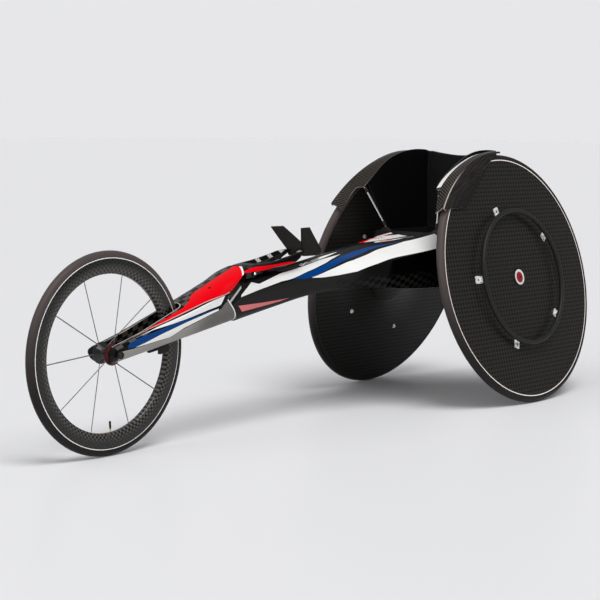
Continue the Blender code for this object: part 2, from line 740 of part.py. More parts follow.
def pin_hole():
    bm = rod(STEERING_PIN_R + GAP, (0, 0, STEERING_PIN_LOW - GAP), (0, 0, 0.1), 20)
    return transform(bm, head_matrix())


def build_front_axle(materials, origin):
    """Hollow-looking through axle with a knurled end nut on each side."""
    reach = FORK_TIP_HALF_WIDTH + 0.006
    centre = FRONT_AXLE
    bm = rod(FRONT_AXLE_R, centre - Vector((reach, 0, 0)), centre + Vector((reach, 0, 0)))
    transform(bm, Matrix.Translation(-origin))
    add_object("front_axle", to_mesh(bm, "front_axle"), materials["steel"], location=origin)
    for side, label, length in ((1, "left", 0.007), (-1, "right", 0.013)):
        start = FORK_TIP_HALF_WIDTH + GAP
        profile = [(start, FRONT_AXLE_R + GAP), (start, 0.0085), (start + length - 0.001, 0.0085),
                   (start + length, 0.0075), (start + length, FRONT_AXLE_R + GAP)]
        nut = revolve([(side * along, radius) for along, radius in profile], 20)
        transform(nut, Matrix.Translation(centre - origin))
        add_object("axle_nut_" + label, to_mesh(nut, "axle_nut"), materials["dark"],
                   location=origin)


def build_brake_shoes(materials, origin):
    """Brake shoe beside each flank of the front rim, on an arm that runs up inside the fork."""
    y = FRONT_AXLE_Y + SHOE_BEHIND_AXLE
    bottom = fork_levels(y)[3]
    low = bottom - 0.016
    high = bottom + 0.004
    half = SHOE_LENGTH / 2
    near = FRONT_RIM_HALF_WIDTH + SHOE_RIM_GAP
    arm_out = FORK_SLOT_HALF - GAP
    outline = [(y - half, low), (y + half, low + 0.004), (y + half, high), (y - half, high - 0.004)]
    for side, label in ((1, "left"), (-1, "right")):
        pad = bmesh.new()
        face = pad.faces.new([pad.verts.new((side * near, py, pz)) for py, pz in outline])
        lifted = bmesh.ops.extrude_face_region(pad, geom=[face])
        moved = [v for v in lifted["geom"] if isinstance(v, bmesh.types.BMVert)]
        bmesh.ops.translate(pad, verts=moved, vec=(side * SHOE_DEPTH, 0, 0))
        bmesh.ops.recalc_face_normals(pad, faces=pad.faces)
        inner, outer = sorted((side * (arm_out - SHOE_ARM_THICKNESS), side * arm_out))
        arm = box((inner, y - SHOE_ARM_WIDTH / 2, high - 0.008),
                  (outer, y + SHOE_ARM_WIDTH / 2, bottom + SHOE_ARM_RISE))
        bm = join_bodies(pad, arm)
        transform(bm, Matrix.Translation(-origin))
        add_object("brake_shoe_" + label, to_mesh(bm, "brake_shoe"), materials["dark"],
                   location=origin)


def build_head(materials, origin):
    """Head tube in the frame, its two bearings, and the steering pin."""
    place = head_matrix()

    def add(name, bm, material, at=Vector((0, 0, 0))):
        transform(bm, Matrix.Translation(-at) @ place)
        return add_object(name, to_mesh(bm, name), material, location=at)

    inner = HEAD_TUBE_R - HEAD_TUBE_WALL
    seat = HEAD_BEARING_WIDTH + GAP
    tube = [(HEAD_BOTTOM, HEAD_TUBE_R), (HEAD_TOP, HEAD_TUBE_R), (HEAD_TOP, inner + 0.001),
            (HEAD_TOP - seat, inner + 0.001), (HEAD_TOP - seat, inner - 0.001),
            (HEAD_BOTTOM + seat, inner - 0.001), (HEAD_BOTTOM + seat, inner + 0.001),
            (HEAD_BOTTOM, inner + 0.001)]
    add("head_tube", revolve(tube, 24, axis=(0, 0, 1)), materials["silver"])
    for label, start in (("upper", HEAD_TOP - HEAD_BEARING_WIDTH), ("lower", HEAD_BOTTOM)):
        bearing = build_bearing(start, STEERING_PIN_R, inner + 0.001 - GAP, HEAD_BEARING_WIDTH)
        transform(bearing, Matrix.Rotation(-math.pi / 2, 4, "Y"))
        add("head_bearing_" + label, bearing, materials["steel"])
    pin_top = HEAD_TOP + RUNNING_GAP + STEERING_PIN_GRIP
    add("steering_pin", rod(STEERING_PIN_R, (0, 0, STEERING_PIN_LOW), (0, 0, pin_top), 20),
        materials["steel"], origin)


def yoke_top(y):
    """Height of the yoke's crown; it levels off toward the ends of the arms."""
    rise = YOKE_TOP + YOKE_SLOPE * (y - YOKE_TOP_Y)
    past = max(0.0, y - YOKE_DROOP_FROM_Y) / (YOKE_REAR_Y - YOKE_DROOP_FROM_Y)
    return rise - YOKE_DROOP * past ** 1.7


def build_yoke(materials, origin):
    """Steering yoke: clamped on the pin, skirted over the frame, and forked into two arms."""
    rings = []
    stations = 12
    for k in range(stations + 1):
        y = YOKE_FRONT_Y + (YOKE_REAR_Y - YOKE_FRONT_Y) * k / stations
        top = yoke_top(y)
        depth = blend(YOKE_DEEP, YOKE_THIN, ease(y, YOKE_THIN_FROM_Y, YOKE_THIN_Y))
        rings.append(oval_ring(y, YOKE_HALF_WIDTH, top, top - depth, top - 0.5 * depth, 3.4, 4.0, 5))
    bm = transform(loft(rings), Matrix.Translation(-origin))
    yoke = add_object("yoke", to_mesh(bm, "yoke"), materials["dark"], location=origin)
    to_local = Matrix.Translation(-origin)
    place = head_matrix()
    tunnel = []
    for y in (-0.34, -0.23, -0.12, 0.02):
        roof = frame_station(max(y, FRAME_NOSE_Y))[0] + YOKE_OVER_FRAME
        tunnel.append(oval_ring(y, YOKE_HALF_WIDTH - YOKE_WALL, roof, YOKE_TUNNEL_FLOOR,
                                roof - YOKE_TUNNEL_BELT, 2.2, 4.0, 4))
    boolean(yoke, transform(loft(tunnel), to_local))
    plan = [(YOKE_HALF_WIDTH + 0.01, YOKE_FRONT_Y - 0.01), (YOKE_HALF_WIDTH + 0.01, -0.060),
            (0.036, YOKE_REAR_Y - 0.001), (0.009, YOKE_REAR_Y - 0.001)]
    plan.append((0.003, YOKE_NOTCH_Y))
    outline = plan + [(-x, y) for x, y in reversed(plan)]
    boolean(yoke, transform(slab(outline, 0.2, 0.6), to_local), "INTERSECT")
    low = HEAD_TOP + RUNNING_GAP
    clamp = transform(rod(YOKE_CLAMP_R, (0, 0, low), (0, 0, low + 0.045), 28), place)
    boolean(yoke, transform(clamp, to_local), "UNION")
    under = transform(box((-0.2, -0.3, -0.3), (0.2, 0.030, low)), place)
    boolean(yoke, transform(under, to_local))
    ahead = transform(box((-0.2, -0.3, -0.3), (0.2, YOKE_FRONT, 0.3)), place)
    boolean(yoke, transform(ahead, to_local))
    hole = transform(rod(STEERING_PIN_R + GAP, (0, 0, -0.1), (0, 0, low + STEERING_PIN_GRIP + GAP), 20),
                     place)
    boolean(yoke, transform(hole, to_local))
    return yoke


def build_grips(materials, origin):
    """Upright grip blades on the yoke's arms, raked forward and splayed outward."""
    steps = 7
    for side, label in ((1, "left"), (-1, "right")):
        rings = []
        for k in range(steps + 1):
            rise = k / steps
            end = 0.72 if k == steps else 1.0
            chord = blend(GRIP_CHORD, GRIP_TIP_CHORD, rise) * end
            thick = GRIP_THICKNESS * (1 - 0.35 * rise) * end
            x = blend(GRIP_BASE[0], GRIP_TIP[0], rise)
            y = blend(GRIP_BASE[1], GRIP_TIP[1], rise)
            base_z = yoke_top(GRIP_BASE[1]) + 0.0012
            centre = Vector((side * x, y, base_z + GRIP_HEIGHT * rise))
            ring = []
            for j in range(12):
                turn = 2 * math.pi * j / 12
                along = -math.cos(turn)
                across = math.sin(turn) * thick / 2 * (1 - 0.3 * along)
                y_here = centre.y + along * chord / 2
                drop = yoke_top(y_here) - yoke_top(centre.y)
                ring.append(Vector((side * (x + across), y_here, centre.z + drop * (1 - rise))))
            rings.append(ring)
        bm = transform(loft(rings), Matrix.Translation(-origin))
        add_object("grip_" + label, to_mesh(bm, "grip"), materials["rubber"], location=origin)


# Frame

def ease(value, low, high):
    share = min(1.0, max(0.0, (value - low) / (high - low)))
    return share * share * (3 - 2 * share)


def blend(a, b, share):
    return a + (b - a) * share


def frame_station(y):
    """Heights and half widths at one place along the frame, on smooth curves through the table."""
    rows = FRAME_STATIONS
    i = max(1, min(len(rows) - 1, sum(1 for row in rows if row[0] < y)))
    before, after = rows[i - 1], rows[i]
    share = (y - before[0]) / (after[0] - before[0])
    values = []
    for k in range(1, len(before)):
        def slope(j):
            low, high = rows[max(0, j - 1)], rows[min(len(rows) - 1, j + 1)]
            return (high[k] - low[k]) / (high[0] - low[0])
        span = after[0] - before[0]
        a, b = before[k], after[k]
        m, n = slope(i - 1) * span, slope(i) * span
        cubic = (2 * a - 2 * b + m + n) * share ** 3 + (3 * b - 3 * a - 2 * m - n) * share ** 2
        values.append(cubic + m * share + a)
    return values


def frame_ring(y, steps=4):
    """Section of the frame, from the ridge down the left side and back up the right."""
    ridge, edge_w, edge_z, chine_w, chine_z, keel_w, keel_z = frame_station(y)
    round_side = 1.0 - ease(y, FRAME_ROUND_UNTIL_Y, FRAME_FLAT_FROM_Y)
    half = [Vector((0, y, ridge)), Vector((edge_w * 0.5, y, blend(ridge, edge_z, 0.3)))]

    def arc(start, end, corner):
        middle = (start + end) / 2
        middle = middle.lerp(corner, 0.75 * round_side)
        for k in range(steps):
            t = k / steps
            half.append(start * (1 - t) ** 2 + middle * 2 * t * (1 - t) + end * t * t)

    edge = Vector((edge_w, y, edge_z))
    chine = Vector((chine_w, y, chine_z))
    keel = Vector((keel_w, y, keel_z + 0.003))
    arc(edge, chine, Vector((chine_w, y, edge_z)))
    arc(chine, keel, Vector((chine_w, y, keel_z + 0.003)))
    half.append(keel)
    half.append(Vector((keel_w * 0.6, y, keel_z)))
    half.append(Vector((0, y, keel_z)))
    mirrored = [Vector((-p.x, p.y, p.z)) for p in reversed(half[1:-1])]
    return half + mirrored


def build_frame(materials):
    stations = 20
    rings = []
    for k in range(stations + 1):
        rings.append(frame_ring(FRAME_NOSE_Y + (LIP_Y - FRAME_NOSE_Y) * k / stations))
    frame = add_object("frame", to_mesh(loft(rings), "frame"), materials["white"])
    place = head_matrix()
    outside = join_bodies(box((-0.2, -0.4, -0.4), (0.2, 0.0, 0.4)),
                          drill=rod(NOSE_R, (0, 0, -0.5), (0, 0, 0.5), 32))
    boolean(frame, transform(outside, place))
    below = transform(box((-0.2, -0.2, -0.5), (0.2, 0.25, HEAD_BOTTOM)), place)
    boolean(frame, below)
    above = transform(box((-0.2, -0.2, HEAD_TOP), (0.2, -0.012, 0.4)), place)
    boolean(frame, above)
    clamp_seat = transform(rod(YOKE_CLAMP_R + 2 * RUNNING_GAP, (0, 0, HEAD_TOP), (0, 0, 0.4), 32), place)
    boolean(frame, clamp_seat)
    bore = transform(rod(HEAD_TUBE_R + GAP, (0, 0, -0.2), (0, 0, 0.2), 24), place)
    boolean(frame, bore)
    return frame


# Seat

def build_tub(materials):
    """Open tub behind the frame's lip, with a channel under its floor for the camber tube."""
    front = LIP_Y + GAP
    lip_row = FRAME_STATIONS[-1]
    rings = []
    stations = 5
    for k in range(stations + 1):
        share = k / stations
        y = front + (TUB_REAR_Y - front) * share
        half = [Vector((blend(TUB_RIM_FRONT_HALF, TUB_RIM_REAR_HALF, share), y, TUB_TOP_Z)),
                Vector((lip_row[4], y, blend(lip_row[5], TUB_CHINE_REAR_Z, share))),
                Vector((lip_row[6], y, TUB_BOTTOM_Z + 0.003)),
                Vector((lip_row[6] * 0.6, y, TUB_BOTTOM_Z))]
        rings.append(half + [Vector((-p.x, p.y, p.z)) for p in reversed(half)])
    tub = add_object("seat_tub", to_mesh(loft(rings), "seat_tub"), materials["carbon"])
    boolean(tub, slab(tub_outline(0.0), TUB_FLOOR_Z, 0.6))
    boolean(tub, build_camber_shape(CAMBER_TUBE_R + GAP))
    return tub


def tub_outline(inset):
    """Plan of the tub's opening."""
    front = LIP_Y + GAP + TUB_WALL
    rear = TUB_REAR_Y - 2 * BACKREST_THICKNESS - TUB_WALL
    ys = [front + 0.085 * k / 5 for k in range(6)] + [rear]
    left = [(tub_inner_half(y) - inset, y) for y in ys]
    left[0] = (left[0][0], front + inset)
    left[-1] = (left[-1][0], rear - inset)
    return [(-x, y) for x, y in left] + list(reversed(left))


def camber_path():
    """Middle line of the camber tube: level between the bends, then in line with each axle."""
    points = []
    for side in (-1, 1):
        end = wheel_matrix(side) @ Vector((HUB_INNER_END - 0.0015, 0, 0))
        back = (end.x * side - CAMBER_TUBE_BEND) / math.cos(CAMBER)
        bend = wheel_matrix(side) @ Vector((HUB_INNER_END - 0.0015 - back, 0, 0))
        points += [end, bend] if side < 0 else [bend, end]
    return points


def build_camber_shape(radius):
    """Round bar mitred at the two bends."""
    path = camber_path()
    rings = []
    for i, point in enumerate(path):
        before = (point - path[i - 1]).normalized() if i > 0 else (path[1] - point).normalized()
        after = (path[i + 1] - point).normalized() if i < len(path) - 1 else before
        along = (before + after).normalized()
        stretch = 1.0 / max(0.5, along.dot(before))
        across = along.cross(Vector((0, 1, 0))).normalized()
        ring = []
        for k in range(20):
            turn = 2 * math.pi * k / 20
            ring.append(point + radius * (across * math.cos(turn) * stretch
                                          + Vector((0, 1, 0)) * math.sin(turn)))
        rings.append(ring)
    return loft(rings)


def build_camber_tube(materials):
    tube = add_object("camber_tube", to_mesh(build_camber_shape(CAMBER_TUBE_R), "camber_tube"),
                      materials["silver"])
    for side in (1, -1):
        bore = rod(AXLE_R + GAP, (-AXLE_REACH - GAP, 0, 0), (0.0, 0, 0), 20)
        boolean(tube, transform(bore, wheel_matrix(side)))
    return tube


def build_cushion(materials):
    outline = tub_outline(0.002)
    bm = slab(outline, TUB_FLOOR_Z + GAP, TUB_FLOOR_Z + CUSHION_THICKNESS)
    middle = TUB_FLOOR_Z + CUSHION_THICKNESS / 2
    top = [e for e in bm.edges if all(v.co.z > middle for v in e.verts)]
    bmesh.ops.bevel(bm, geom=top, offset=0.008, segments=2, affect="EDGES", profile=0.5, material=-1)
    add_object("seat_cushion", to_mesh(bm, "seat_cushion"), materials["fabric"])


def guard_inner_h(angle):
    """Offset of the guard's inner edge: a narrow lip in front, then wide and narrowing upward."""
    lip = ease(angle, GUARD_CORNER - 0.035, GUARD_CORNER)
    narrowing = ease(angle, GUARD_CORNER, math.radians(72.0))
    return blend(blend(GUARD_LIP_H, GUARD_CORNER_H, lip), GUARD_INNER_H, narrowing)


def guard_flange_r(angle):
    """Radius of the outer flange's free edge: level at the front, then a curve up to the tip."""
    curve = (angle - math.radians(50.0)) / math.radians(40.0)
    deep = GUARD_R - GUARD_FLANGE_DEPTH * (1.0 - max(0.0, curve) ** 2)
    level = GUARD_FRONT_HEIGHT / math.sin(angle)
    return min(GUARD_R - 0.007, max(deep, level))


def build_guard(side, label, materials):
    """Moulded guard: a band over the tyre with a flange down the wheel's outer face."""
    steps = 18
    bm = bmesh.new()
    rows = []
    for k in range(steps + 1):
        angle = GUARD_START + (GUARD_END - GUARD_START) * k / steps
        front = (1.0 - ease(angle, GUARD_START - 0.3, math.radians(70.0)))
        ridge = GUARD_R - 0.004 + GUARD_FLARE * front
        inner = GUARD_R - 0.008 * (1.0 - ease(angle, GUARD_START, GUARD_START + 0.14))
        inward = guard_inner_h(angle)
        low = guard_flange_r(angle)
        section = [(inward, inner), (inward * 0.5, blend(inner, GUARD_R, 0.6)), (0.0, GUARD_R),
                   (GUARD_OUTER_H - 0.002, ridge + 0.001), (GUARD_OUTER_H, ridge - 0.002)]
        section += [(GUARD_OUTER_H, blend(ridge - 0.002, low, j / 3)) for j in (1, 2, 3)]
        rows.append([bm.verts.new(wheel_point(side, h, r, angle)) for h, r in section])
    add_sheet("guard_" + label, bm, rows, GUARD_WALL, wheel_matrix(side).translation,
              materials["carbon"])


def add_sheet(name, bm, rows, thickness, inside, material):
    """Skin a grid of vertices and thicken it toward the given inside point."""
    for near, far in zip(rows, rows[1:]):
        for a, b, c, d in zip(near, near[1:], far[1:], far):
            bm.faces.new((a, b, c, d))
    bmesh.ops.recalc_face_normals(bm, faces=bm.faces)
    bm.normal_update()
    outward = sum(f.normal.dot(f.calc_center_median() - inside) for f in bm.faces)
    if outward < 0:
        bmesh.ops.reverse_faces(bm, faces=bm.faces)
    bmesh.ops.solidify(bm, geom=bm.faces[:], thickness=thickness)
    return add_object(name, to_mesh(bm, name), material)


def strut_ends(side):
    top = wheel_point(side, GUARD_CORNER_H + STRUT_R, GUARD_R - 0.007, GUARD_CORNER + math.radians(0.6))
    foot = Vector((side * (LIP_HALF_WIDTH + 0.006), LIP_Y + 0.004, LIP_Z + 0.012))
    return top, foot


def tub_inner_half(y):
    """Half width of the tub's opening: pinched at the front and full behind the hips."""
    return blend(TUB_MOUTH_HALF_WIDTH, TUB_HALF_WIDTH - TUB_RIM_WIDTH, ease(y, LIP_Y, LIP_Y + TUB_PINCH))


def build_side_panel(side, label, materials):
    """Carbon side panel behind the strut, from the tub's rim up past the guard's inner edge."""
    columns = 12
    rows = 2
    bm = bmesh.new()
    grid = []
    start = GUARD_CORNER + math.radians(2.5)
    for i in range(columns + 1):
        share = i / columns
        angle = blend(start, PANEL_END, share)
        rise = PANEL_RISE * ease(angle, start, math.radians(84.0))
        high = wheel_point(side, guard_inner_h(angle) - 2 * GAP, GUARD_R + rise, angle)
        y = blend(LIP_Y + 0.012, TUB_REAR_Y - 2 * BACKREST_THICKNESS - GAP, share)
        low = Vector((side * (tub_inner_half(y) + 0.007), y, TUB_TOP_Z + GAP))
        grid.append([bm.verts.new(low.lerp(high, j / rows)) for j in range(rows + 1)])
    add_sheet("side_panel_" + label, bm, grid, PANEL_THICKNESS, Vector((0, 0.5, 0.55)),
              materials["carbon"])


def build_strut(side, label, materials):
    top, foot = strut_ends(side)
    add_object("strut_" + label, to_mesh(rod(STRUT_R, foot, top, 10), "strut"), materials["silver"])
    base = TUB_TOP_Z + GAP
    outline = [(-0.021, 0.0), (0.021, 0.0), (0.0035, foot.z - base - 0.002),
               (-0.0035, foot.z - base - 0.002)]
    bm = slab(outline, -BRACKET_THICKNESS / 2, BRACKET_THICKNESS / 2)
    transform(bm, Matrix.Translation((foot.x, foot.y, base)) @ Matrix.Rotation(math.pi / 2, 4, "X"))
    add_object("strut_bracket_" + label, to_mesh(bm, "strut_bracket"), materials["dark"])


def build_backrest(materials):
    """Back panel behind the rear edges of the two side panels, standing on the tub's rim."""
    steps = 12
    corner = wheel_point(1, GUARD_INNER_H - 2 * GAP, GUARD_R + PANEL_RISE, PANEL_END)
    front_y = corner.y + 4 * GAP
    low = TUB_TOP_Z + GAP
    rings = []
    for i in range(steps + 1):
        across = -1 + 2 * i / steps
        x = corner.x * across
        top = corner.z - BACKREST_SAG * (1 - abs(across) ** 1.5)
        rings.append([Vector((x, front_y, low)), Vector((x, front_y + BACKREST_THICKNESS, low)),
                      Vector((x, front_y + BACKREST_THICKNESS, top)), Vector((x, front_y, top))])
    add_object("backrest", to_mesh(loft(rings), "backrest"), materials["fabric"])


def build_all():
    clear_scene()
    materials = {
        "carbon": make_material("carbon", (0.02, 0.02, 0.021), 0.3),
        "tyre": make_material("tyre", (0.045, 0.04, 0.04), 0.6),
        "rubber": make_material("rubber", (0.02, 0.02, 0.02), 0.7),
        "silver": make_material("silver", (0.75, 0.75, 0.76), 0.3, 1.0),
        "steel": make_material("steel", (0.5, 0.5, 0.5), 0.35, 1.0),
        "dark": make_material("dark", (0.02, 0.02, 0.02), 0.4),
        "red": make_material("red", (0.8, 0.0, 0.01), 0.3),
        "white": make_material("white", (0.85, 0.85, 0.85), 0.3),
        "brass": make_material("brass", (0.75, 0.55, 0.25), 0.3, 1.0),
        "fabric": make_material("fabric", (0.02, 0.02, 0.02), 0.9),
    }
    build_frame(materials)
    build_tub(materials)
    build_cushion(materials)
    build_backrest(materials)
    build_camber_tube(materials)
    for side, label in ((1, "left"), (-1, "right")):
        build_rear_wheel(side, label, materials)
        build_axle(side, label, materials, wheel_matrix(side))
        build_guard(side, label, materials)
        build_side_panel(side, label, materials)
        build_strut(side, label, materials)
    build_front_wheel(materials)
    origin = HEAD_CENTRE
    build_fork(materials, origin)
    build_yoke(materials, origin)
    build_grips(materials, origin)
    build_front_axle(materials, origin)
    build_brake_shoes(materials, origin)
    build_head(materials, origin)


build_all()
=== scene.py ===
import math

import bmesh
import bpy
from mathutils import Matrix, Vector


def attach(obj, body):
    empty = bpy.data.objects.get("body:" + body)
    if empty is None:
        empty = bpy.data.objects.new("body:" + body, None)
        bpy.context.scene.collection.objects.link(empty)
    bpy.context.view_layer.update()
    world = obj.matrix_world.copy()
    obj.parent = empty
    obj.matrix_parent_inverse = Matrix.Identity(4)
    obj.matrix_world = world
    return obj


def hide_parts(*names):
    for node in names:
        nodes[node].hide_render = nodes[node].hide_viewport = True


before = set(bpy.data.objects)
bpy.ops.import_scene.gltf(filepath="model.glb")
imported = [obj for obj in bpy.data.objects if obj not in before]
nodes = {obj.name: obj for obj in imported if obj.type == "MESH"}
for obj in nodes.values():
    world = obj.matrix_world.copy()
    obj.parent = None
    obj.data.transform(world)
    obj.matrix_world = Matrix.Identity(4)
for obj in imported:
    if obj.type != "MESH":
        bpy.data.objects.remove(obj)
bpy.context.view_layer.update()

# Studio: a long lens at the height of a low tripod, looking at the chair's front left corner.
# A pale paper floor runs up into a plain backdrop of the same tone; the room behind the lens is
# dim, so dark gloss stays dark. The lamps are wide, so the shadows on the paper are soft.
CAMERA_PLACE = Vector((2.7881, -3.2427, 0.7353))
CAMERA_TURN = 0.7168531
CAMERA_RISE = 0.1024601
CAMERA_ROLL = 0.0038649
LENS = 102.81
SENSOR = 36.0
SUNS = (("sun_key", (0.19, 0.48, 0.0), 1.95, 35.0), ("sun_fill", (0.75, -0.35, 0.3), 1.05, 80.0))
STRIPS = (("strip_left", (0.9, -3.6, 1.5), (0.0, -0.1, 0.35), (0.25, 2.2)),
          ("strip_side", (3.4, 0.4, 1.9), (0.0, 0.2, 0.35), (0.3, 2.4)))
STRIP_ENERGY = 5.0
PAPER = (0.797, 0.797, 0.814, 1.0)
ROOM = (0.20, 0.20, 0.205, 1.0)
MIRRORED_PAPER = 0.35
FLOOR_SIZE = 60.0
FLOOR_PAINT = (0.868, 0.870, 0.888, 1.0)
FLOOR_MIRROR = 0.13
FLOOR_DROP = 0.0008


class Field:
    """A value in a node tree; arithmetic on it adds the maths nodes it needs."""

    def __init__(self, tree, socket=None):
        self.tree = tree
        self.socket = socket

    def node(self, kind, settings, inputs, output=0):
        """Any other node, from its type, its settings and the values or links of its sockets."""
        made = self.tree.nodes.new(kind)
        for key, value in settings.items():
            if key == "stops":
                lay_stops(made.mapping, value)
            else:
                setattr(made, key, value)
        for key, value in inputs.items():
            if isinstance(value, Field):
                self.tree.links.new(value.socket, made.inputs[key])
            else:
                made.inputs[key].default_value = value
        return Field(self.tree, made.outputs[output])

    def maths(self, operation, *values):
        return self.node("ShaderNodeMath", {"operation": operation}, dict(enumerate(values)))

    def __add__(self, other):
        return self.maths("ADD", self, other)

    def __sub__(self, other):
        return self.maths("SUBTRACT", self, other)

    def __mul__(self, other):
        return self.maths("MULTIPLY", self, other)

    def __truediv__(self, other):
        return self.maths("DIVIDE", self, other)

    def __radd__(self, other):
        return self.maths("ADD", other, self)

    def __rsub__(self, other):
        return self.maths("SUBTRACT", other, self)

    def __rmul__(self, other):
        return self.maths("MULTIPLY", other, self)

    def __lt__(self, other):
        return self.maths("LESS_THAN", self, other)

    def __gt__(self, other):
        return self.maths("GREATER_THAN", self, other)

    def floor(self):
        return self.maths("FLOOR", self)

    def fract(self):
        return self.maths("FRACT", self)

    def size(self):
        return self.maths("ABSOLUTE", self)

    def root(self):
        return self.maths("SQRT", self)

    def most(self, other):
        return self.maths("MAXIMUM", self, other)

    def fade(self, low, high):
        """0 at low and 1 at high, with a soft step between them."""
        inputs = {"Value": self, "From Min": low, "From Max": high}
        return self.node("ShaderNodeMapRange", {"interpolation_type": "SMOOTHSTEP"}, inputs)

    def mix(self, off, on):
        """A colour that goes from off to on as this value goes from 0 to 1."""
        return self.node("ShaderNodeMix", {"data_type": "RGBA"}, {0: self, 6: off, 7: on}, 2)


def lay_stops(mapping, stops):
    """Run a curve straight through its stops."""
    curve = mapping.curves[0]
    curve.points[0].location = stops[0]
    curve.points[1].location = stops[-1]
    for stop in stops[1:-1]:
        curve.points.new(*stop)
    for point in curve.points:
        point.handle_type = "VECTOR"
    mapping.update()


def join_to(node, key, field):
    field.tree.links.new(field.socket, node.inputs[key])


def finish(name, colour, roughness, metallic=0.0, coat=0.0, coat_roughness=0.04, specular=0.2):
    """A material with one plain finish, and its shader for anything that varies."""
    material = bpy.data.materials.new(name)
    material.use_nodes = True
    material.diffuse_color = (*colour[:3], 1.0)
    shader = material.node_tree.nodes["Principled BSDF"]
    for key, value in (("Base Color", (*colour[:3], 1.0)), ("Roughness", roughness), ("Metallic", metallic),
                       ("Specular IOR Level", specular), ("Coat Weight", coat),
                       ("Coat Roughness", coat_roughness)):
        shader.inputs[key].default_value = value
    return material, shader


def stand(name, data):
    """A new object in the scene."""
    made = bpy.data.objects.new(name, data)
    scene.collection.objects.link(made)
    return made


scene = bpy.context.scene
scene.view_settings.view_transform = "Standard"
ahead = Vector((-math.sin(CAMERA_TURN), math.cos(CAMERA_TURN), 0.0))
back = Vector((0, 0, math.sin(CAMERA_RISE))) - ahead * math.cos(CAMERA_RISE)
across = Vector((math.cos(CAMERA_TURN), math.sin(CAMERA_TURN), 0.0))
upward = back.cross(across)
right = math.cos(CAMERA_ROLL) * across + math.sin(CAMERA_ROLL) * upward
top = math.cos(CAMERA_ROLL) * upward - math.sin(CAMERA_ROLL) * across
lens = bpy.data.cameras.new("camera")
lens.lens = LENS
lens.sensor_width = SENSOR
camera = stand("camera", lens)
camera.matrix_world = Matrix.Translation(CAMERA_PLACE) @ Matrix((right, top, back)).transposed().to_4x4()
scene.camera = camera

for name, turn, energy, spread in SUNS:
    lamp = bpy.data.lights.new(name, "SUN")
    lamp.energy = energy
    lamp.angle = math.radians(spread)
    stand(name, lamp).rotation_euler = turn

for name, place, aim, size in STRIPS:
    lamp = bpy.data.lights.new(name, "AREA")
    lamp.shape = "RECTANGLE"
    lamp.size, lamp.size_y = size
    lamp.energy = STRIP_ENERGY
    holder = stand(name, lamp)
    holder.location = place
    holder.rotation_euler = (Vector(aim) - Vector(place)).to_track_quat("-Z", "Y").to_euler()

world = bpy.data.worlds.new("surround")
world.use_nodes = True
scene.world = world
paper = world.node_tree.nodes["Background"]
paper.inputs["Color"].default_value = PAPER
backdrop = Field(world.node_tree, paper.outputs["Background"])
ray_way = backdrop.node("ShaderNodeTexCoord", {}, {}, "Generated")
toward_paper = backdrop.node("ShaderNodeVectorMath", {"operation": "DOT_PRODUCT"},
                             {0: ray_way, 1: ahead}, "Value")
seen, clear, glossy = (backdrop.node("ShaderNodeLightPath", {}, {}, "Is %s Ray" % kind)
                       for kind in ("Camera", "Transmission", "Glossy"))
share = seen.most(clear).most(glossy * toward_paper.fade(-0.25, 0.45) * MIRRORED_PAPER)
room = backdrop.node("ShaderNodeBackground", {}, {"Color": ROOM})
surround = backdrop.node("ShaderNodeMixShader", {}, {0: share, 1: room, 2: backdrop})
join_to(world.node_tree.nodes["World Output"], "Surface", surround)

bm = bmesh.new()
bmesh.ops.create_grid(bm, x_segments=1, y_segments=1, size=FLOOR_SIZE,
                      matrix=Matrix.Translation((0, 0, -FLOOR_DROP)))
floor_mesh = bpy.data.meshes.new("floor")
bm.to_mesh(floor_mesh)
bm.free()
floor = stand("floor", floor_mesh)
floor_paint, shader = finish("floor_paint", FLOOR_PAINT, 0.6, specular=0.0)
paint = Field(floor_paint.node_tree, shader.outputs["BSDF"])
glaze = paint.node("ShaderNodeBsdfGlossy", {}, {"Roughness": 0.30})
glazed = paint.node("ShaderNodeMixShader", {}, {0: FLOOR_MIRROR, 1: paint, 2: glaze})
join_to(floor_paint.node_tree.nodes["Material Output"], "Surface", glazed)
floor_mesh.materials.append(floor_paint)


# Frame: one hollow carbon moulding from the steering head to the seat. A slim beam in front
# widens into a broad shell under the knees. It is lacquered black with painted racing stripes.
FRAME_NOSE_Y = -0.370
LIP_Y = 0.404
LIP_Z = 0.449
KEEL_REAR_Z = 0.3055
ROUND_UNTIL_Y = -0.05
FLAT_FROM_Y = 0.28
# Each row holds y, the ridge's height, then half width and height of the edge, the chine and the keel.
FRAME_STATIONS = (
    (FRAME_NOSE_Y, 0.3720, 0.024, 0.3660, 0.045, 0.318, 0.020, 0.2580),
    (-0.150, 0.3850, 0.022, 0.3790, 0.045, 0.338, 0.020, 0.2935),
    (-0.044, 0.3960, 0.019, 0.3905, 0.050, 0.350, 0.024, 0.3100),
    (0.025, 0.4065, 0.016, 0.4020, 0.070, 0.359, 0.050, 0.3200),
    (0.070, 0.4120, 0.012, 0.4090, 0.090, 0.370, 0.080, 0.3240),
    (0.140, 0.4205, 0.007, 0.4195, 0.105, 0.383, 0.107, 0.3225),
    (0.190, 0.4280, 0.010, 0.4290, 0.113, 0.392, 0.113, 0.3175),
    (0.305, LIP_Z - 0.0170, 0.040, LIP_Z - 0.0115, 0.122, LIP_Z - 0.043, 0.115, KEEL_REAR_Z + 0.0035),
    (LIP_Y, LIP_Z - 0.0120, 0.080, LIP_Z, 0.128, LIP_Z - 0.031, 0.116, KEEL_REAR_Z),
)
FRAME_RINGS = 112
HEAD_ANGLE = math.radians(48.7)
HEAD_CENTRE = Vector((0.0, -0.270, 0.350))
HEAD_BACK = Vector((0.0, math.cos(HEAD_ANGLE), -math.sin(HEAD_ANGLE)))
HEAD_AXIS = Vector((0.0, math.sin(HEAD_ANGLE), math.cos(HEAD_ANGLE)))
HEAD_BOTTOM = -0.0750
NOSE_R = 0.0450
CLAMP_SEAT_R = 0.030
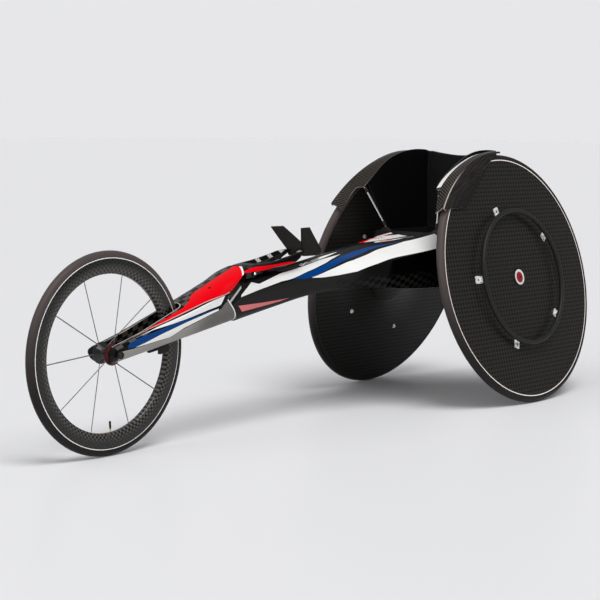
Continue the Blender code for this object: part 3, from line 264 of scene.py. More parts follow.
CLAMP_SEAT_BACK = -0.012
HEAD_TUBE_R = 0.018
BORE_ROOM = 0.0003
CHART_START = -0.75
CHART_LENGTH = 1.25
CHART_DEPTH = 0.26
BLACK = (0.0075, 0.0073, 0.0072, 1.0)
WHITE = (0.83, 0.825, 0.815, 1.0)
RED = (0.78, 0.0, 0.006, 1.0)
BLUE = (0.0, 0.046, 0.20, 1.0)
ROSE = (0.72, 0.20, 0.20, 1.0)


def object_fields(material):
    """The x, y and z of the object's own space as fields."""
    place = Field(material.node_tree).node("ShaderNodeTexCoord", {}, {}, "Object")
    return [place.node("ShaderNodeSeparateXYZ", {}, {0: place}, axis) for axis in range(3)]


def map_fields(material):
    """The two coordinates of the mesh's own chart as fields."""
    place = Field(material.node_tree).node("ShaderNodeUVMap", {"uv_map": "chart"}, {}, "UV")
    return [place.node("ShaderNodeSeparateXYZ", {}, {0: place}, axis) for axis in range(2)]


def noise(material, scale, detail=3.0):
    """Soft random value about 0.5 in the object's own space."""
    place = Field(material.node_tree).node("ShaderNodeTexCoord", {}, {}, "Object")
    return place.node("ShaderNodeTexNoise", {}, {"Vector": place, "Scale": scale, "Detail": detail})


def raise_surface(shader, height, distance, strength=1.0):
    inputs = {"Height": height, "Distance": distance, "Strength": strength}
    join_to(shader, "Normal", height.node("ShaderNodeBump", {}, inputs))


def worn(name, colour, roughness, grain=60.0, **options):
    """A plain finish made a little uneven in tone, dulling and surface."""
    material, shader = finish(name, colour, roughness, **options)
    patchy = noise(material, grain)
    dark = tuple(0.78 * part for part in colour[:3]) + (1.0,)
    light = tuple(1.22 * part for part in colour[:3]) + (1.0,)
    join_to(shader, "Base Color", patchy.mix(dark, light))
    join_to(shader, "Roughness", roughness - 0.05 + patchy * 0.12)
    raise_surface(shader, noise(material, grain * 12.0, 2.0), 0.00006, 0.3)
    return material


def ease(value, low, high):
    share = min(1.0, max(0.0, (value - low) / (high - low)))
    return share * share * (3 - 2 * share)


def blend(a, b, share):
    return a + (b - a) * share


def evenly(start, end, count):
    """Evenly spaced values from start to end, both included."""
    return [blend(start, end, k / count) for k in range(count + 1)]


def bowed(start, control, end, count):
    """Points along a curve that leaves toward the control point and arrives from it."""
    return [start * (1 - t) ** 2 + control * 2 * t * (1 - t) + end * t * t
            for t in (k / count for k in range(count))]


def mirrored(points):
    """The same points on the other side of the chair, in the opposite order."""
    return [Vector((-point.x, point.y, point.z)) for point in reversed(points)]


def skin(rings):
    """Bridge a run of closed rings of points, cap both ends, and map each point to its place.

    The map holds y, and the distance round the section from its first point, the same on both
    sides of the middle."""
    bm = bmesh.new()
    layer = bm.verts.layers.float_vector.new("place")
    previous = None
    for ring in rings:
        verts = [bm.verts.new(point) for point in ring]
        half = len(ring) // 2
        run = 0.0
        for k, vert in enumerate(verts[:half + 1]):
            run += (ring[k] - ring[k - 1]).length if k else 0.0
            vert[layer] = (vert.co.y, run, 0.0)
            if 0 < k < half:
                verts[-k][layer] = (vert.co.y, run, 0.0)
        edges = [bm.edges.new((a, b)) for a, b in zip(verts, verts[1:] + verts[:1])]
        if previous is not None:
            bmesh.ops.bridge_loops(bm, edges=previous + edges)
        else:
            bm.faces.new(verts)
        previous = edges
    bm.faces.new(verts)
    bmesh.ops.recalc_face_normals(bm, faces=bm.faces)
    chart = bm.loops.layers.uv.new("chart")
    for face in bm.faces:
        for loop in face.loops:
            loop[chart].uv = loop.vert[layer].xy
    return bm


def block(low, high, bevel=0.0, segments=2):
    size = Vector(high) - Vector(low)
    middle = (Vector(high) + Vector(low)) / 2
    bm = bmesh.new()
    bmesh.ops.create_cube(bm, size=1.0, matrix=Matrix.Translation(middle) @ Matrix.Diagonal((*size, 1)))
    if bevel:
        bmesh.ops.bevel(bm, geom=bm.edges[:], offset=bevel, segments=segments, affect="EDGES",
                        profile=0.5, material=-1)
    return bm


def rod(radius, start, end, steps=64):
    """A straight round bar between two points."""
    start = Vector(start)
    span = Vector(end) - start
    turn = Vector((0, 0, 1)).rotation_difference(span).to_matrix().to_4x4()
    bm = bmesh.new()
    bmesh.ops.create_cone(bm, cap_ends=True, segments=steps, radius1=radius, radius2=radius,
                          depth=span.length, matrix=Matrix.Translation(start + span / 2) @ turn)
    return bm


def evaluated(thing):
    """The object as its modifiers leave it."""
    return thing.evaluated_get(bpy.context.evaluated_depsgraph_get())


def cut(bm, tool, operation="DIFFERENCE", face_material=0):
    """The first body with the second cut out of it, or kept only inside it, or joined to it."""
    for face in tool.faces:
        face.material_index = face_material
    made = []
    for source in (bm, tool):
        mesh = bpy.data.meshes.new("scratch")
        source.to_mesh(mesh)
        source.free()
        made.append(stand("scratch", mesh))
    modifier = made[0].modifiers.new("cut", "BOOLEAN")
    modifier.operation = operation
    modifier.solver = "EXACT"
    modifier.object = made[1]
    done = evaluated(made[0])
    result = bmesh.new()
    result.from_mesh(done.to_mesh())
    for thing in made:
        mesh = thing.data
        bpy.data.objects.remove(thing, do_unlink=True)
        bpy.data.meshes.remove(mesh)
    return result


def moved(bm, matrix):
    bmesh.ops.transform(bm, matrix=matrix, verts=bm.verts)
    return bm


def piece(name, bm, materials, place=None, sharp=35.0, chart=None):
    """Turn a bmesh into a finished object in the frame, smooth up to the given angle."""
    if chart is not None:
        layer = bm.loops.layers.uv.new("chart")
        for face in bm.faces:
            for loop in face.loops:
                loop[layer].uv = chart(loop.vert.co)
    if place is not None:
        moved(bm, place)
    mesh = bpy.data.meshes.new(name)
    bm.to_mesh(mesh)
    bm.free()
    for material in materials:
        mesh.materials.append(material)
    mesh.polygons.foreach_set("use_smooth", [True] * len(mesh.polygons))
    mesh.set_sharp_from_angle(angle=math.radians(sharp))
    return stand(name, mesh)


def head_place():
    """Frame of the steering head: local Z up the pin, local Y back and down."""
    turn = Matrix((Vector((1, 0, 0)), HEAD_BACK, HEAD_AXIS)).transposed().to_4x4()
    return Matrix.Translation(HEAD_CENTRE) @ turn


def station(rows, y):
    """Values at one place along a table of (y, value, value ...), on smooth curves through it."""
    i = max(1, min(len(rows) - 1, sum(1 for row in rows if row[0] < y)))
    before, after = rows[i - 1], rows[i]
    span = after[0] - before[0]
    share = (y - before[0]) / span
    values = []
    for k in range(1, len(before)):
        slopes = []
        for j in (i - 1, i):
            low, high = rows[max(0, j - 1)], rows[min(len(rows) - 1, j + 1)]
            slopes.append((high[k] - low[k]) / (high[0] - low[0]) * span)
        a, b = before[k], after[k]
        m, n = slopes
        cubic = (2 * a - 2 * b + m + n) * share ** 3 + (3 * b - 3 * a - 2 * m - n) * share ** 2
        values.append(cubic + m * share + a)
    return values


def arc(start, end, corner, bulge, count):
    """Points from one place toward the next, bulging out toward the corner."""
    return bowed(start, ((start + end) / 2).lerp(corner, bulge), end, count)


def frame_ring(y, steps=14):
    """Section of the frame, from the ridge down the left side and back up the right."""
    ridge, edge_w, edge_z, chine_w, chine_z, keel_w, keel_z = station(FRAME_STATIONS, y)
    round_side = 1.0 - ease(y, ROUND_UNTIL_Y, FLAT_FROM_Y)
    crown = Vector((0, y, ridge))
    edge = Vector((edge_w, y, edge_z))
    chine = Vector((chine_w, y, chine_z))
    keel = Vector((keel_w, y, keel_z + 0.003))
    flat = Vector((keel_w * 0.6, y, keel_z))
    middle = Vector((0, y, keel_z))
    half = arc(crown, edge, Vector((edge_w * 0.6, y, ridge)), 0.8, 6)
    half += arc(edge, chine, Vector((chine_w, y, edge_z)), 0.75 * round_side, steps)
    half += arc(chine, keel, Vector((chine_w, y, keel_z + 0.003)), 0.75 * round_side, steps)
    half += arc(keel, flat, Vector((keel_w * 0.9, y, keel_z)), 1.0, 3)
    half += arc(flat, middle, middle, 0.0, 4) + [middle]
    return half + mirrored(half[1:-1])


def painted_line(along, points):
    """Distance from the ridge at which a painted edge runs, straight between a few points."""
    stops = [((y - CHART_START) / CHART_LENGTH, down / CHART_DEPTH) for y, down in points]
    place = (along - CHART_START) / CHART_LENGTH
    return along.node("ShaderNodeFloatCurve", {"stops": stops}, {"Value": place}) * CHART_DEPTH


def stripe(along, down, upper, lower):
    """1 between two painted edges, from the first point of the upper one to its last."""
    inside = (down > painted_line(along, upper)) * (down < painted_line(along, lower))
    return inside * (along > upper[0][0]) * (along < upper[-1][0])


def chequers(along, down, length, depth):
    """1 on every other square of a chessboard."""
    return (((along / length).floor() + (down / depth).floor()) * 0.5).fract() * 2.0


def beam_stripes(along, down):
    """The white wedge and panel, the blue stripe and the rose wedge, in the order of painting."""
    wedge = stripe(along, down,
                   [(-0.313, 0.0737), (-0.262, 0.0421), (-0.238, 0.0500), (-0.150, 0.0331),
                    (-0.072, 0.0286), (-0.005, 0.0231), (0.080, 0.0270)],
                   [(-0.313, 0.0745), (-0.295, 0.0717), (-0.2436, 0.0640), (-0.161, 0.0545),
                    (-0.122, 0.0538), (-0.060, 0.0465), (0.008, 0.0429), (0.080, 0.0275)])
    panel = stripe(along, down,
                   [(-0.053, 0.0640), (-0.008, 0.0649), (0.083, 0.0689), (0.205, 0.0580),
                    (0.301, 0.0583), (0.410, 0.0850)],
                   [(-0.053, 0.0645), (0.037, 0.0916), (0.069, 0.1041), (0.115, 0.1063),
                    (0.213, 0.1135), (0.345, 0.1300), (0.410, 0.1380)])
    crest = stripe(along, down, [(-0.068, 0.0185), (-0.055, 0.0145), (0.088, 0.0088)],
                   [(-0.068, 0.0240), (0.035, 0.0185), (0.088, 0.0095)])
    bars = crest * chequers(along, down, 0.011, 0.0035) * (along < -0.02)
    blue = stripe(along, down,
                  [(-0.122, 0.0540), (-0.061, 0.0485), (0.005, 0.0463), (0.135, 0.0297),
                   (0.200, 0.0369), (0.3045, 0.0557)],
                  [(-0.122, 0.0545), (-0.0603, 0.0638), (-0.0057, 0.0615), (0.072, 0.0596),
                   (0.165, 0.0478), (0.252, 0.0495), (0.3045, 0.0562)])
    rose = stripe(along, down, [(-0.313, 0.0930), (-0.127, 0.1012)],
                  [(-0.313, 0.0935), (-0.297, 0.1100), (-0.162, 0.1049), (-0.127, 0.1015)])
    return [(wedge.most(panel).most(crest), WHITE), (bars, BLACK), (blue, BLUE), (rose, ROSE)]


def lip_stripes(along, down):
    """The white patch in front of the seat with its red slant and small squares, and two bars."""
    patch = stripe(along, down, [(0.199, 0.0050), (0.300, 0.0070), (0.410, 0.0090)],
                   [(0.199, 0.0100), (0.285, 0.0340), (0.330, 0.0430), (0.400, 0.0400), (0.410, 0.0380)])
    slant = ((along - 0.199) * 0.36 - (down - 0.0050)).size() < 0.0048
    squares = chequers(along, down, 0.006, 0.003)
    squares = squares * ((along - 0.300).size() < 0.03) * ((down - 0.030).size() < 0.0032)
    white_bar = stripe(along, down, [(0.225, 0.0190), (0.400, 0.0560)], [(0.225, 0.0240), (0.400, 0.0640)])
    red_bar = stripe(along, down, [(0.240, 0.0245), (0.385, 0.0500)], [(0.240, 0.0265), (0.385, 0.0545)])
    return [(patch, WHITE), (slant * patch * (along < 0.315), RED), (squares * patch, BLACK),
            (white_bar, WHITE), (red_bar, RED)]


def frame_finish():
    """Black lacquer over carbon, a duller, paler grey along the lower flank, painted shade under the belly
    toward the rear, with the stripes laid on.
    """
    material, shader = finish("frame_lacquer", BLACK, 0.3, coat=0.06, coat_roughness=0.03, specular=0.05)
    along, down = map_fields(material)
    height = object_fields(material)[2]
    colour = noise(material, 260.0, 1.0).mix((0.006, 0.006, 0.006, 1), (0.011, 0.0105, 0.010, 1))
    grey = stripe(along, down, [(-0.38, 0.070), (-0.12, 0.058), (0.02, 0.060), (0.15, 0.090)],
                  [(-0.38, 0.150), (0.02, 0.150), (0.15, 0.085)])
    # painted shade: below the white band, from the knees back, the underside is made near black
    painted_belly_shade = (down > 0.085) * along.fade(0.03, 0.12)
    weave = chequers(along, down, 0.018, 0.010) * height.fade(0.360, 0.342) * (along > 0.02)
    ground = [(grey * 0.8, (0.018, 0.018, 0.017, 1)), (painted_belly_shade, (0.0006, 0.0006, 0.0006, 1)),
              (weave, (0.0100, 0.0095, 0.0085, 1))]
    for shape, paint in ground + beam_stripes(along, down) + lip_stripes(along, down):
        colour = shape.mix(colour, paint)
    join_to(shader, "Base Color", colour)
    join_to(shader, "Roughness", 0.24 + grey * 0.16)
    return material


def nose_finish():
    """Gloss black of the head's faces, with a pale and a faint painted highlight streak down each side."""
    material, shader = finish("nose_gloss", BLACK, 0.2, coat=0.3, coat_roughness=0.03)
    out = object_fields(material)[0].size()
    # painted highlights: a faint streak and a pale streak down each side of the head
    faint_highlight = (out - 0.0330).size().fade(0.0, 0.006).mix((0.022, 0.021, 0.020, 1), (0.004, 0.004, 0.004, 1))
    join_to(shader, "Base Color", ((out - 0.0395).size() < 0.0011).mix(faint_highlight, (0.46, 0.44, 0.41, 1)))
    return material


black_gloss = worn("black_gloss", BLACK, 0.27, 30.0, coat=0.08, coat_roughness=0.03, specular=0.05)
nose_gloss = nose_finish()
frame_lacquer = frame_finish()
place_head = head_place()
shell = skin([frame_ring(y) for y in evenly(FRAME_NOSE_Y, LIP_Y, FRAME_RINGS)])
past_nose = cut(block((-0.2, -0.4, -0.4), (0.2, 0.0, 0.4)), rod(NOSE_R, (0, 0, -0.5), (0, 0, 0.5), 96))
for tool in (past_nose,
             block((-0.2, -0.2, -0.5), (0.2, 0.25, HEAD_BOTTOM)),
             block((-0.2, -0.2, 0.0), (0.2, CLAMP_SEAT_BACK, 0.4)),
             rod(CLAMP_SEAT_R, (0, 0, 0.0), (0, 0, 0.4)),
             rod(HEAD_TUBE_R + BORE_ROOM, (0, 0, -0.2), (0, 0, 0.2))):
    shell = cut(shell, moved(tool, place_head), face_material=1)
frame_shell = piece("frame_shell", shell, [frame_lacquer, nose_gloss], sharp=32)
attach(frame_shell, "chair")
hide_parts("frame")


# Seat tub: a carbon bucket glued behind the frame's lip, with the camber tube through a channel
# under its floor. The tube is silver aluminium, bent up at each end into line with the axles.
WHEEL_R = 0.335
TYRE_R = 0.011
CAMBER = math.radians(12.8)
HALF_TRACK = 0.216
REAR_AXLE_Y = 0.587
REAR_HUB_Z = (WHEEL_R - TYRE_R) * math.cos(CAMBER) + TYRE_R
TUB_REAR_Y = 0.640
TUB_TOP_Z = LIP_Z
SMALL_WEAVE = 0.0045


def dress(material, *names):
    """Give CAD nodes their finish."""
    for name in names:
        mesh = nodes[name].data
        mesh.materials.clear()
        mesh.materials.append(material)


def plain_weave(u, v, pitch):
    """Over and under squares of a woven cloth: which tow is on top, and how high it stands."""
    warp_up = chequers(u, v, pitch, pitch)
    across = (u / pitch).fract() - 0.5
    along = (v / pitch).fract() - 0.5
    warp = 1.0 - along * along * 3.2
    weft = 1.0 - across * across * 3.2
    return warp_up, warp_up * warp + (1.0 - warp_up) * weft


def tub_finish():
    """Satin black woven carbon; the squares show faintly on the outside."""
    material, shader = finish("tub_carbon", (0.009, 0.009, 0.009), 0.32, coat=0.1, coat_roughness=0.1)
    x, y, z = object_fields(material)
    warp_up, height = plain_weave(y, z + x, SMALL_WEAVE)
    cloth = warp_up.mix((0.005, 0.005, 0.005, 1), (0.016, 0.0155, 0.0145, 1))
    join_to(shader, "Base Color", cloth)
    raise_surface(shader, height, 0.0001, 0.4)
    return material


def silver_finish(name, colour, roughness):
    """Anodised aluminium with fine drawing lines and a little uneven dulling."""
    material, shader = finish(name, colour, roughness, metallic=1.0)
    join_to(shader, "Roughness", roughness - 0.06 + noise(material, 40.0) * 0.14)
    raise_surface(shader, noise(material, 700.0, 1.0), 0.00008, 0.25)
    return material


tub_carbon = tub_finish()
dress(tub_carbon, "seat_tub")
silver = silver_finish("drawn_silver", (0.66, 0.66, 0.67), 0.26)
dress(silver, "camber_tube")


# Side panels and guards: thin woven carbon mouldings. The panels stand on the tub's rim and the
# guards are bonded along their tops, with a band over each tyre and a flange down its outer face.
GUARD_R = 0.3455
GUARD_WALL = 0.002
GUARD_LIP_H = -0.020
GUARD_CORNER_H = -0.039
GUARD_INNER_H = -0.021
GUARD_OUTER_H = 0.0165
GUARD_START = math.radians(34.0)
GUARD_CORNER = math.radians(48.0)
GUARD_END = math.radians(91.0)
GUARD_FLANGE_DEPTH = 0.073
GUARD_FRONT_HEIGHT = 0.194
GUARD_FLARE = 0.013
GUARD_ROUND = 0.005
PANEL_THICKNESS = 0.003
PANEL_RISE = 0.008
PANEL_END = math.radians(97.0)
BACK_THICKNESS = 0.005
GAP = 0.0003
TWILL_TOW = 0.0024
SIDES = ((1, "left"), (-1, "right"))


def wheel_place(side):
    """Frame of a rear wheel: local X outward along the axle, local Z up in the wheel's plane."""
    turn = Matrix.Rotation(0.0 if side > 0 else math.pi, 4, "Z") @ Matrix.Rotation(-CAMBER, 4, "Y")
    return Matrix.Translation((side * HALF_TRACK, REAR_AXLE_Y, REAR_HUB_Z)) @ turn


def wheel_point(side, h, radius, angle):
    """A point of the wheel's polar frame; the angle runs from straight ahead up to the top."""
    forward = -1.0 if side > 0 else 1.0
    return wheel_place(side) @ Vector((h, forward * radius * math.cos(angle), radius * math.sin(angle)))


def sheet_body(surface, columns, rows, thickness, inside, rim_material=1):
    """A moulded sheet: a grid laid on a surface, then given its wall toward the inside point.

    The surface takes two shares from 0 to 1 and returns a point and its place on the chart."""
    bm = bmesh.new()
    bmesh.ops.create_grid(bm, x_segments=columns, y_segments=rows, size=0.5)
    layer = bm.loops.layers.uv.new("chart")
    places = {}
    for vert in bm.verts:
        point, place = surface(vert.co.x + 0.5, vert.co.y + 0.5)
        places[vert] = place
        vert.co = point
    for face in bm.faces:
        for loop in face.loops:
            loop[layer].uv = places[loop.vert]
    bm.normal_update()
    if sum(f.normal.dot(f.calc_center_median() - inside) for f in bm.faces) < 0:
        bmesh.ops.reverse_faces(bm, faces=bm.faces)
    skin_verts = set(bm.verts)
    bmesh.ops.solidify(bm, geom=bm.faces[:], thickness=thickness)
    for face in bm.faces:
        if 0 < sum(v in skin_verts for v in face.verts) < len(face.verts):
            face.material_index = rim_material
    return bm


def guard_inner_h(angle):
    """How far in along the axle the guard's inner lip lies at one angle."""
    lip = ease(angle, GUARD_CORNER - 0.035, GUARD_CORNER)
    narrowing = ease(angle, GUARD_CORNER, math.radians(72.0))
    return blend(blend(GUARD_LIP_H, GUARD_CORNER_H, lip), GUARD_INNER_H, narrowing)


def guard_section(angle):
    """Outline across the guard: inner lip, band over the tyre, rounded corner, flange."""
    front = 1.0 - ease(angle, GUARD_START - 0.3, math.radians(70.0))
    ridge = GUARD_R - 0.004 + GUARD_FLARE * front
    inner = GUARD_R - 0.008 * (1.0 - ease(angle, GUARD_START, GUARD_START + 0.14))
    inward = guard_inner_h(angle)
    curve = (angle - math.radians(50.0)) / math.radians(40.0)
    deep = GUARD_R - GUARD_FLANGE_DEPTH * (1.0 - max(0.0, curve) ** 2)
    low = min(GUARD_R - 0.007, max(deep, GUARD_FRONT_HEIGHT / math.sin(angle)))
    middle = Vector((0.0, GUARD_R))
    corner_in = Vector((GUARD_OUTER_H - GUARD_ROUND, ridge + 0.0006))
    corner_out = Vector((GUARD_OUTER_H, ridge - GUARD_ROUND))
    section = bowed(Vector((inward, inner)), Vector((inward * 0.5, blend(inner, GUARD_R, 0.9))), middle, 8)
    section += bowed(middle, Vector((0.005, blend(GUARD_R, ridge, 0.4))), corner_in, 5)
    section += bowed(corner_in, Vector((GUARD_OUTER_H, ridge + 0.0008)), corner_out, 6)
    drop = min(corner_out.y, max(low, GUARD_R - 0.08))
    return section + [Vector((GUARD_OUTER_H, radius)) for radius in evenly(corner_out.y, drop, 10)]


GUARD_POINTS = len(guard_section(1.0))
GUARD_CORNER_POINT = 16


def guard_surface(side):
    """The guard's outer face as a surface, charted along the tyre and out from the band's edge."""
    def surface(share, across):
        angle = blend(GUARD_START, GUARD_END, share)
        section = guard_section(angle)
        k = round(across * (GUARD_POINTS - 1))
        steps = [(b - a).length for a, b in zip(section, section[1:])]
        run = sum(steps[GUARD_CORNER_POINT:k]) - sum(steps[k:GUARD_CORNER_POINT])
        return wheel_point(side, *section[k], angle), (angle * GUARD_R, run)
    return surface


def guard_finish():
    """Twill over the tyre band, and long drawn fibres down the flange, both lacquered, with painted
    highlights along the left guard's inner edge and on the ridge toward the front, and painted shade further
    down the flange.
    """
    material, shader = finish("guard_carbon", (0.02, 0.018, 0.016), 0.3, coat=0.1,
                              coat_roughness=0.08, specular=0.08)
    along, down = map_fields(material)
    step = (along / TWILL_TOW).floor() + (down / TWILL_TOW).floor()
    twill = (step * 0.25).fract() < 0.5
    wave = noise(material, 9.0, 2.0)
    place = along.node("ShaderNodeCombineXYZ", {}, {0: along * 14.0, 1: down * 420.0 + wave * 26.0})
    fibres = along.node("ShaderNodeTexNoise", {}, {"Vector": place, "Scale": 1.0, "Detail": 2.0})
    fibres = fibres.fade(0.40, 0.66)
    band = twill.mix((0.004, 0.0036, 0.003, 1), (0.050, 0.042, 0.034, 1))
    inner_edge = painted_line(along - 0.4, [(-0.20, 0.036), (-0.115, 0.0545), (-0.04, 0.0475),
                                            (0.034, 0.0375), (0.15, 0.0375)])
    # painted highlight: a pale strip along the inner edge of the left guard's band
    glint = (down + inner_edge < 0.0130) * (object_fields(material)[0] > 0.0) * (along > 0.292)
    band = glint.mix(band, (0.80, 0.80, 0.78, 1))
    drawn = fibres.mix((0.005, 0.0047, 0.0043, 1), (0.034, 0.030, 0.026, 1))
    shaded = down.fade(0.010, 0.070).mix(drawn, (0.008, 0.0075, 0.007, 1))
    # painted highlight: a pale line along the ridge between band and flange, fading toward the top
    ridge = ((down - 0.002).size() < 0.0014) * along.fade(0.38, 0.27)
    join_to(shader, "Base Color", ridge.mix((down > 0.002).mix(band, shaded), (0.50, 0.45, 0.41, 1)))
    join_to(shader, "Roughness", 0.26 + twill * (down < 0.002) * 0.12)
    raise_surface(shader, twill * (down < 0.002) + fibres * 0.3, 0.00012, 0.5)
    return material


def panel_surface(side):
    """The side panel's face as a surface, from the tub's rim up to the guard's inner lip."""
    start = GUARD_CORNER + math.radians(2.5)

    def surface(share, height):
        angle = blend(start, PANEL_END, share)
        rise = PANEL_RISE * ease(angle, start, math.radians(84.0))
        high = wheel_point(side, guard_inner_h(angle) - 2 * GAP, GUARD_R + rise, angle)
        y = blend(LIP_Y + 0.012, TUB_REAR_Y - 2 * BACK_THICKNESS - GAP, share)
        low = Vector((side * (tub_inner_half(y) + 0.007), y, TUB_TOP_Z + GAP))
        point = low.lerp(high, height)
        return point, (point.y, point.z)
    return surface


def tub_inner_half(y):
    """Half the width inside the tub's walls."""
    return blend(0.082, 0.108, ease(y, LIP_Y, LIP_Y + 0.08))


def panel_finish():
    """Matt black woven lining of the side panels."""
    material, shader = finish("panel_lining", (0.002, 0.002, 0.002), 0.7, specular=0.05)
    along, up = map_fields(material)
    warp_up, height = plain_weave(along, up, 0.0032)
    join_to(shader, "Base Color", warp_up.mix((0.0014, 0.0014, 0.0014, 1), (0.0030, 0.0028, 0.0027, 1)))
    raise_surface(shader, height, 0.0002, 0.5)
    return material


guard_carbon = guard_finish()
panel_lining = panel_finish()
cut_edge, shader = finish("laminate_edge", (0.42, 0.37, 0.31), 0.4, coat=0.5)
edge_grain = noise(cut_edge, 300.0).mix((0.30, 0.26, 0.21, 1), (0.55, 0.49, 0.42, 1))
join_to(shader, "Base Color", edge_grain)
dark_edge = worn("panel_edge", (0.02, 0.018, 0.016), 0.4, coat=0.3)
for side, label in SIDES:
    guard = piece("guard_shell_" + label,
                  sheet_body(guard_surface(side), 96, GUARD_POINTS - 1, GUARD_WALL,
                             wheel_place(side).translation), [guard_carbon, cut_edge], sharp=50)
    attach(guard, "chair")
    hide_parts("guard_" + label)
    panel = piece("side_panel_shell_" + label,
                  sheet_body(panel_surface(side), 72, 16, PANEL_THICKNESS, Vector((0, 0.5, 0.55))),
                  [panel_lining, dark_edge], sharp=50)
    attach(panel, "chair")
    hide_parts("side_panel_" + label)


# Struts: a thin silver stay with a threaded end at each side of the seat, pinned to a folded
# bracket on the frame's lip and to the corner of the guard.
STRUT_R = 0.003
STRUT_END_R = 0.0044
STRUT_END_LENGTH = 0.016

bright = silver_finish("polished_stay", (0.82, 0.82, 0.83), 0.18)
bracket_dark = worn("bracket_dark", (0.018, 0.014, 0.012), 0.36, 80.0, coat=0.3)
dress(bright, "strut_left", "strut_right")
dress(bracket_dark, "strut_bracket_left", "strut_bracket_right")
for side, label in SIDES:
    head = wheel_point(side, GUARD_CORNER_H + STRUT_R, GUARD_R - 0.007, GUARD_CORNER + math.radians(0.6))
    foot = Vector((side * 0.086, LIP_Y + 0.004, LIP_Z + 0.012))
    way = (head - foot).normalized()
    sleeves = rod(STRUT_END_R, foot + way * 0.001, foot + way * STRUT_END_LENGTH, 24)
    sleeves = cut(sleeves, rod(STRUT_END_R, head - way * STRUT_END_LENGTH, head - way * 0.002, 24), "UNION")
    sleeve = piece("strut_sleeves_" + label, sleeves, [bracket_dark], sharp=40)
    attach(sleeve, "chair")


# Backrest: a thin quilted pad of black cloth, held between the rear edges of the side panels. Its
# channels are sewn through, and a bias tape is sewn round the edge.
PAD_PRESSURE = 4.0
PAD_FRAMES = 20
BACK_VOXEL = 0.0025
BACK_CAP = 0.0045
BACK_CHANNEL = 0.046
BACK_STITCH = 0.0028
TAPE_R = 0.0026


def cloth_finish(name, dark, light, pitch):
    """Black woven upholstery, a little dusty on the threads that stand up."""
    material, shader = finish(name, dark, 0.85, specular=0.1)
    x, y, z = object_fields(material)
    warp_up, height = plain_weave(x + y, z + y, pitch)
    thread = warp_up.mix((*dark, 1), (*light, 1))
    dusty = (noise(material, 25.0) * 0.5).mix(thread, (0.014, 0.0135, 0.013, 1))
    join_to(shader, "Base Color", dusty)
    raise_surface(shader, height + noise(material, 420.0) * 0.5, 0.0004, 0.6)
    return material


def remeshed(name, node, inset, voxel, material):
    """A soft CAD node's shape, drawn in a little and remeshed in small even faces."""
    bm = bmesh.new()
    bm.from_mesh(nodes[node].data)
    bmesh.ops.remove_doubles(bm, verts=bm.verts, dist=1e-5)
    bm.normal_update()
    for vert in bm.verts:
        vert.co = vert.co - vert.normal * inset
    solid = piece(name + "_solid", bm, [])
    remesh = solid.modifiers.new("remesh", "REMESH")
    remesh.mode = "VOXEL"
    remesh.voxel_size = voxel
    mesh = bpy.data.meshes.new_from_object(evaluated(solid))
    bpy.data.objects.remove(solid, do_unlink=True)
    mesh.name = name
    mesh.materials.append(material)
    return stand(name, mesh)


def blow_up(pad, cap, sewn, hold):
    """Run the pad as cloth under pressure, as foam fills its cover, and keep where it settles.

    Points that are sewn stay where they are, and hold keeps each point clear of its neighbours."""
    mesh = pad.data
    start = [vert.co.copy() for vert in mesh.vertices]
    group = pad.vertex_groups.new(name="sewn")
    group.add([k for k, point in enumerate(start) if sewn(point)], 1.0, "REPLACE")
    cloth = pad.modifiers.new("cloth", "CLOTH")
    cloth.settings.use_pressure = True
    cloth.settings.uniform_pressure_force = PAD_PRESSURE
    cloth.settings.vertex_group_mass = "sewn"
    cloth.settings.effector_weights.gravity = 0.0
    for frame_number in range(1, PAD_FRAMES + 1):
        scene.frame_set(frame_number)
    blown = evaluated(pad).data
    ends = [vert.co.copy() for vert in blown.vertices]
    pad.modifiers.clear()
    pad.vertex_groups.clear()
    for vert, before, after in zip(mesh.vertices, start, ends):
        step = after - before
        if step.length > cap:
            step = step * (cap / step.length)
        vert.co = hold(before + step)
    scene.frame_set(1)


def swollen(name, node, inset, voxel, cap, sewn, hold, material):
    """A smooth soft pad made from a CAD node and blown up."""
    pad = remeshed(name, node, inset, voxel, material)
    blow_up(pad, cap, sewn, hold)
    pad.data.polygons.foreach_set("use_smooth", [True] * len(pad.data.polygons))
    finer = pad.modifiers.new("finer", "SUBSURF")
    finer.levels = 1
    finer.render_levels = 1
    return pad


def rounded(points, rounds=3):
    """A closed run of points with its corners cut again and again until they are round."""
    for _ in range(rounds):
        cut_points = []
        for a, b in zip(points, points[1:] + points[:1]):
            cut_points += [a.lerp(b, 0.25), a.lerp(b, 0.75)]
        points = cut_points
    return points


def piping(name, points, radius, material):
    """A round sewn edge along a closed run of points."""
    curve = bpy.data.curves.new(name, "CURVE")
    curve.dimensions = "3D"
    curve.bevel_depth = radius
    curve.bevel_resolution = 3
    spline = curve.splines.new("POLY")
    spline.points.add(len(points) - 1)
    for spot, point in zip(spline.points, points):
        spot.co = (*point, 1.0)
    spline.use_cyclic_u = True
    curve.materials.append(material)
    return stand(name, curve)


back_corner = wheel_point(1, -0.0216, 0.3535, PANEL_END)
back_middle_y = back_corner.y + 0.0012 + BACK_THICKNESS / 2
back_low = TUB_TOP_Z + GAP


def back_top(across):
    """Height of the upper edge, which dips toward the middle."""
    return back_corner.z - 0.014 * (1.0 - abs(across) ** 1.5)


def back_sewn(point):
    """True on the channels and along the hem, where the two covers meet."""
    across = point.x / back_corner.x
    channel = abs((point.x / BACK_CHANNEL + 0.5) % 1.0 - 0.5) * BACK_CHANNEL
    hem = min(back_corner.x - abs(point.x), point.z - back_low, back_top(across) - point.z)
    return channel < BACK_STITCH / 2 or hem < 0.005


def back_hold(point):
    return Vector((point.x, point.y, max(point.z, back_low + 0.0002)))


